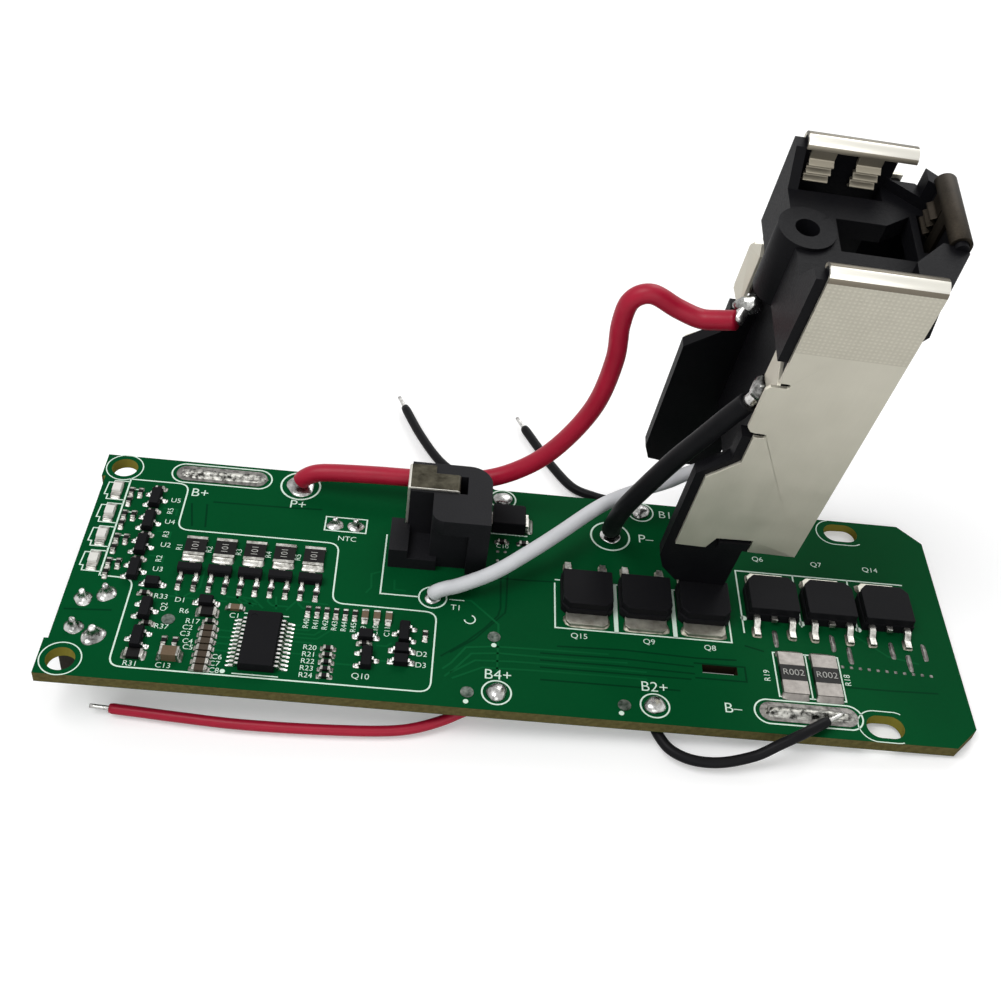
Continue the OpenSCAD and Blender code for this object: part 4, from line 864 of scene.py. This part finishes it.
zoneLine = [
    (3.94, 14.28), (11.66, 14.28), (11.66, 5.86), (32.5, 5.86), (32.71, -4.33), (45.76, -4.45),
    (45.65, -16.88), (8.19, -16.88), (8.19, -3.2), (3.94, -3.1)
]
lightLine = [
    (3.94, 1.75), (2.0, 1.75), (1.95, 1.35), (1.3, 1.35), (1.15, -0.9), (1.6, -0.9), (1.6, -1.75),
    (3.94, -1.75)
]
openLines = {  # by width
    "line": [
        eased(zoneLine, legend["corner"]), [(38.5, 8.3), (38.5, -2.1), (43.3, -2.1)],
        [(60.6, 2.35), (60.6, -5.2), (83, -5.2), (83, 2.35)], [(60.6, 2.9), (83, 2.9)],
        [(84.8, -3.4), (84.8, 7.4), (107.5, 7.4)], [(92.5, -1.6), (92.5, 7.4)], [(99.9, -1.6), (99.9, 7.4)],
        [(52.0, 14.1), (52.0, 10.25), (57.0, 10.25)]
    ],
    "edge": [[(3.94, 14.38), (3.94, -3.2)]],
    "thin": [
        *([(x, y + 12 - q) for x, y in lightLine] for q in gaugeSteps),
        *([(4.6, 12.42 - q), (5.5, 12.42 - q)] for q in gaugeSteps),
        [(22.4, -7.2), (27.8, -7.2)], [(22.4, -16.5), (27.8, -16.5)], arcLine(49.9, -5.1, 0.68, -170, 70)
    ],
    "box": [[(92.2, -13.1), (92.2, -6.2)]],
    "bar": [[(x, -5.2), (x, 2.9)] for x in (68.35, 75.85)],
    "slot": [
        [(47.2, -2.1), (49.1, -2.1)], arcLine(100.6, 16.4, 2.3, 100, 305, 2.2),
        arcLine(100.6, -16.4, 2.3, 62, 290, 2.2)
    ]
}
boxes = [
    [(30.3, 8.1), (35.7, 8.1), (35.7, 10.6), (30.3, 10.6)],
    [(88.05, -13.1), (96.35, -13.1), (96.35, -6.2), (88.05, -6.2)]
]
rings = [  # radius, width, stretch, places
    (2.6, "ring", 0, jointSpots[:2]), (1.75, "line", 0, jointSpots[2:]),
    (2.4, "hole", 0, [(gaugeEnd, -16.4), (gaugeEnd, 16.4)]), (1.8, "line", 9.7, cellSlots)
]
dots = {  # radius: places
    0.2: [(85.0, -0.9), (92.6, -1.0), (100.0, -1.2)], 0.16: [(53.0, -8.9), (49.9, -17.75), (68.4, -17.6)],
    0.15: [(21.3, -16.3)]
}
printed = [ribbon(row, legend[width]) for width, rows in openLines.items() for row in rows]
printed += [ribbon(row, legend["box"], True) for row in boxes]
printed += [ring(x, y, r, legend[width], stretch) for r, width, stretch, spots in rings for x, y in spots]
printed += [ring(x, y, r, 2 * r) for r, spots in dots.items() for x, y in spots]  # filled rings
addPiece("boardLegend", printed, legendFinish, "led_white", closed=False)
print("legend lines printed")

# legend words by letter size and turn: text made a mesh, then laid on the board
wordRows = {
    (0.8, 0): [
        ("U5", 10.5, 11.0), ("U4", 10.5, 7.0), ("U2", 10.8, 2.9), ("U3", 10.7, -1.3), ("D2", 44.3, -11.3),
        ("D3", 44.3, -13.0)
    ],
    (0.75, 90): [("R5", 10.2, 9.0), ("R3", 10.5, 4.8), ("R2", 10.5, 0.5), ("Q2", 12.7, -7.3)],
    (0.78, 0): [
        ("R33", 12.0, -5.7), ("D1", 14.4, -6.0), ("R6", 15.2, -7.7), ("R17", 16.5, -9.2),
        ("R37", 13.0, -10.4), ("R31", 10.6, -16.3), ("C13", 14.4, -16.2), ("C1", 21.3, -7.75)
    ],
    (0.75, 0): [
        ("C2", 16.1, -10.2), ("C3", 16.0, -11.2), ("C4", 16.5, -12.3), ("C5", 16.7, -13.2),
        ("C6", 20.3, -14.3), ("C7", 20.2, -15.3), ("C8", 20.3, -16.3)
    ],
    (0.85, 0): [
        ("Q10", 37.3, -15.4), ("NTC", 33.4, 6.8), ("Q15", 63.6, -6.3), ("Q9", 72.4, -6.25),
        ("Q8", 80.1, -6.4), ("Q6", 88.1, 9.85), ("Q7", 96.1, 9.8), ("Q14", 103.5, 9.7)
    ],
    (0.9, 0): [("T1", 48.1, -3.4)],
    (1.5, 0): [
        ("B4+", 53.6, -13.5), ("B2+", 72.6, -13.35), ("B\u2013", 82.0, -15.55), ("B+", 13.3, 12.8),
        ("P+", 26.3, 12.3), ("P\u2013", 73.0, 11.7)
    ],
    (1.35, 0): [("B1+", 76.6, 16.7)],
    (0.7, 0): [("C10", 53.7, 8.0)],
    (0.8, 90): [("R19", 86.9, -10.0), ("R18", 97.1, -9.7)]
}
words = [(*row, size, turn) for (size, turn), rows in wordRows.items() for row in rows]
words += [("R%d" % (i + 1), x - 2.05, 2.8, 0.75, 90) for i, x in enumerate(balanceX)]
words += [("R%d" % (40 + i), 30 + 1.15 * i, -8.0, 0.7, 90) for i in range(6)]
words += [("C%d" % (9 + i), 37 + 1.45 * i, -8.2, 0.7, 90) for i in range(3)]
words += [("R%d" % (20 + i), 30.9, -11.7 - 1.05 * i, 0.75, 0) for i in range(5)]
codes = [("101", x, 2.75, 0.62, 0.85, 90) for x in balanceX]
codes += [("R002", x, -9.7, 0.67, 0.95, 0) for x in shuntX]


wordLook = {"scale": 1.4, "thin": -0.006}  # letter size to font size, and strokes drawn in


def wordMesh(name, rows, finish, slotName):
    # rows are word, x, y, height over the board, letter size, turn: the letters' outline, turned and moved
    points, faces, count = [], [], 0
    for word, x, y, z, size, turn in rows:
        letters = bpy.data.curves.new("letters", "FONT")
        letters.body, letters.size, letters.offset = word, size * wordLook["scale"], size * wordLook["thin"]
        letters.align_x = letters.align_y = "CENTER"
        holder = bpy.data.objects.new("letters", letters)
        flat = bpy.data.meshes.new_from_object(holder)
        flat.calc_loop_triangles()
        spot = np.empty(len(flat.vertices) * 3)
        flat.vertices.foreach_get("co", spot)
        spot = spot.reshape(-1, 3)
        tris = np.empty(len(flat.loop_triangles) * 3, int)
        flat.loop_triangles.foreach_get("vertices", tris)
        c, s = math.cos(math.radians(turn)), math.sin(math.radians(turn))
        placed = spot @ np.array([[c, s, 0], [-s, c, 0], [0, 0, 0]]) + (x, y, z)
        points.append(onBoard(placed))
        faces += (tris.reshape(-1, 3) + count).tolist()
        count += len(spot)
        bpy.data.objects.remove(holder)
        bpy.data.curves.remove(letters)
        bpy.data.meshes.remove(flat)
    return finishPiece(meshObject(name, points, faces, False), finish, slotName)


rows = [(word, x, y, legend["height"], size, turn) for word, x, y, size, turn in words]
wordMesh("boardWords", rows, legendFinish, "led_white")
wordMesh("valueCodes", codes, codeFinish, "led_white")
print("legend words printed")

# covered copper: thin raised lines under the mask, bare gaps between copper, tinned vias and strips
copperLines = [
    [(27.9, -8.4), (29.2, -8.4), (30, -7.6), (30, -6.8)],
    [(28.4, -9.1), (30.4, -9.1), (31.15, -8.3), (31.15, -6.8)],
    [(28.4, -9.7), (31.2, -9.7), (32.3, -8.6), (32.3, -6.8)],
    [(28.4, -10.3), (31.6, -10.3), (33.45, -8.4), (33.45, -6.8)],
    [(28.4, -11), (31, -11), (31.6, -11.7), (32.4, -11.7)], [(28.4, -12.8), (32.4, -12.8)],
    [(21.8, -10.2), (19.6, -10.2)], [(21.8, -11.2), (19.6, -11.2)], [(21.8, -12.2), (19.6, -12.2)],
    [(21.8, -13.3), (19.6, -13.3)], [(33.8, -13.8), (36.2, -13.8), (36.8, -13.2)],
    [(40.9, -12.8), (39.4, -12.8)], [(13, -5.5), (14.6, -5.5), (16.4, -3.7), (16.4, -1)],
    [(46.5, -2), (50, -2), (53.5, -5.5), (53.5, -14)], [(38.7, -10.5), (40, -10.5), (40.6, -9.9)]
]
copperLines += [[(x - 1, -4.2), (x - 1, -5), (x - 0.4, -5.6), (x + 1.6, -5.6)] for x in balanceX]
copperLines += [[(9.2, y), (11, y), (11, y - 1.2)] for y in (9.4, 5.2, 0.9)]
copperLines += [
    [(46.9, -13.2), (47.9, -12.2), (49.6, -9.6), (53, -9.1), (60.3, -8.9), (67.2, -8.8)],
    [(47.2, -14.3), (48.5, -12.9), (50.3, -10.5), (53.5, -10.1), (60.8, -10.1), (69.5, -9.9)],
    [(47.9, -13.7), (50.8, -11.5), (55.4, -11.2), (64.8, -11.1), (71.8, -11.1)],
    [(48.1, -14.5), (51.7, -12.5), (57.7, -12.3), (67.1, -12.2), (71.8, -12.2)],
    [(19.8, -4.8), (21.9, -4.9), (23.3, -6)], [(20.9, -4.6), (23.1, -4.8), (24.5, -6.2)],
    [(27.3, -6.2), (28.4, -4.5), (32.3, -4.7)], [(26.1, -6.2), (25.8, -4.1)],
    [(40.1, 0.4), (40.2, -1.2), (41.7, -1.3)], [(36.7, -2.2), (37.3, -1.2), (37.1, 1.1), (38.3, 1.6)],
    [(98.6, -1.7), (103.1, -5.3), (106.9, -6.1)]
]
gapLines = [
    [(46.6, -11.3), (49.7, -8.6), (51.8, -6.3), (53.4, -4.1), (53.7, -2.8), (53.6, 3.1)],
    [(47.7, -10.6), (50.6, -8.2), (52.5, -5.8), (54.3, -3.5), (54.4, -2.4), (54.5, 3.2)],
    [(52.5, 2.3), (56.7, 2.3), (60.4, 2.5)], [(12.6, 10.8), (13.4, 6.7)], [(14.6, 10.9), (15.1, 6.7)],
    [(15.3, 11.4), (25.3, 11.6), (29.6, 11.8)], [(1.1, -8.9), (6.7, -8.5)],
    [(58.7, -9.5), (69.1, -9.3), (77.8, -9.6)], [(58.7, -10.6), (68.7, -10.5), (77.8, -10.7)],
    [(58.7, -11.7), (77.3, -11.6)], [(58.7, -13.6), (75.8, -13.5)],
    [(95.2, -10.8), (102.3, -10.8), (108.4, -10.6)], [(60.8, -8.2), (69.2, -7.9), (78.3, -8.2), (83.3, -8)],
    [(84.6, -5.5), (87, -6.2)], [(77.8, -9), (84.2, -9), (84.2, -11.3), (77.8, -11.3)]
]
strips = {  # lines, finish, width, height
    "coveredCopper": (copperLines, traceFinish, 0.26, 0.012), "bareGaps": (gapLines, gapFinish, 0.24, 0.009)
}
for name, (routes, finish, wide, high) in strips.items():
    addPiece(name, [ribbon(route, wide, level=high) for route in routes], finish, "solder_mask", closed=False)
viaSpots = [(96.8 + 1.13 * i, -7.6 - 0.03 * i) for i in range(11)] + [(53.1, 7.0), (54.1, 7.05), (53.1, 5.4)]
stripSpots = [(88.75, -3.9), (96.15, -3.9), (98.1, -5.7), (103.8, -4.3), (105.7, -6.1), (108.05, -4.2)]
vias = solderStack([(x, y, 0) for x, y in viaSpots], [((0, 0), (0.21, 0.21), (0, 0), (0.12, 0.12), 0.03)])
bars = solderStack([(x, y, 0) for x, y in stripSpots], [((0, 0), (0.34, 1.4), (0, 0), (0.16, 1.2), 0.10)])
addPiece("tinnedSpots", [vias, bars], dullFinish, "solder")
print("copper and vias laid")

# floor, tilted as the part rests on it, and white surround
floorLook = {
    "level": -8.58, "alongX": 0.0598, "alongY": 0.0345, "half": 900.0, "middle": (50, 18.7),
    "lift": (0.28, 0.28, 0.28), "far": (0.95, 0.95, 0.95), "fadeFrom": 0.2, "fadeRate": 2.0
}
grid = np.array([-1.0, 1.0]) * floorLook["half"]
gx, gy = np.meshgrid(grid, grid, indexing="ij")
middleX, frontY = floorLook["middle"]
gz = floorLook["level"] + floorLook["alongX"] * (gx + middleX) + floorLook["alongY"] * (gy + frontY)
ground = onBoard(np.stack([gx + middleX, gy, gz], -1))[None]
floor = sheetMesh("paleFloor", ground, closed=False)
f = Finish("palePaper")
tone = f.noise(8, 3)
f.set(Base_Color=f.mix(tone, (0.78, 0.78, 0.78), (0.82, 0.82, 0.82)), Roughness=0.8)
seen = f.node("ShaderNodeLightPath", out="Is Camera Ray")
away = f.node("ShaderNodeVectorMath", {"operation": "LENGTH"}, {0: f.place}, out="Value")
fade = (away - floorLook["fadeFrom"]) * floorLook["fadeRate"]  # the floor turns white far from the part
lift = f.mix(fade, floorLook["lift"], floorLook["far"])
f.set(Emission_Color=f.mix(seen, (0.0, 0.0, 0.0), lift), Emission_Strength=1.0)
paint(floor, f)

# what falls on the part, and what is added where the surround itself is seen
surround = {"light": 0.38, "shown": 0.62}
world = bpy.data.worlds.new("whiteSurround")
scene.world = world
world.use_nodes = True
sky = world.node_tree
background = sky.nodes["Background"]
rays = sky.nodes.new("ShaderNodeLightPath")
direct, mirrorRay = (Flow(sky, rays.outputs[kind]) for kind in ("Is Camera Ray", "Is Glossy Ray"))
shown = node(sky, "ShaderNodeMath", {"operation": "MAXIMUM"}, {0: direct, 1: mirrorRay})
level = surround["light"] + shown * surround["shown"]
sky.links.new(level.socket, background.inputs["Strength"])
background.inputs["Color"].default_value = (1, 1, 1, 1)
print("floor and surround set")

print("all pieces made")
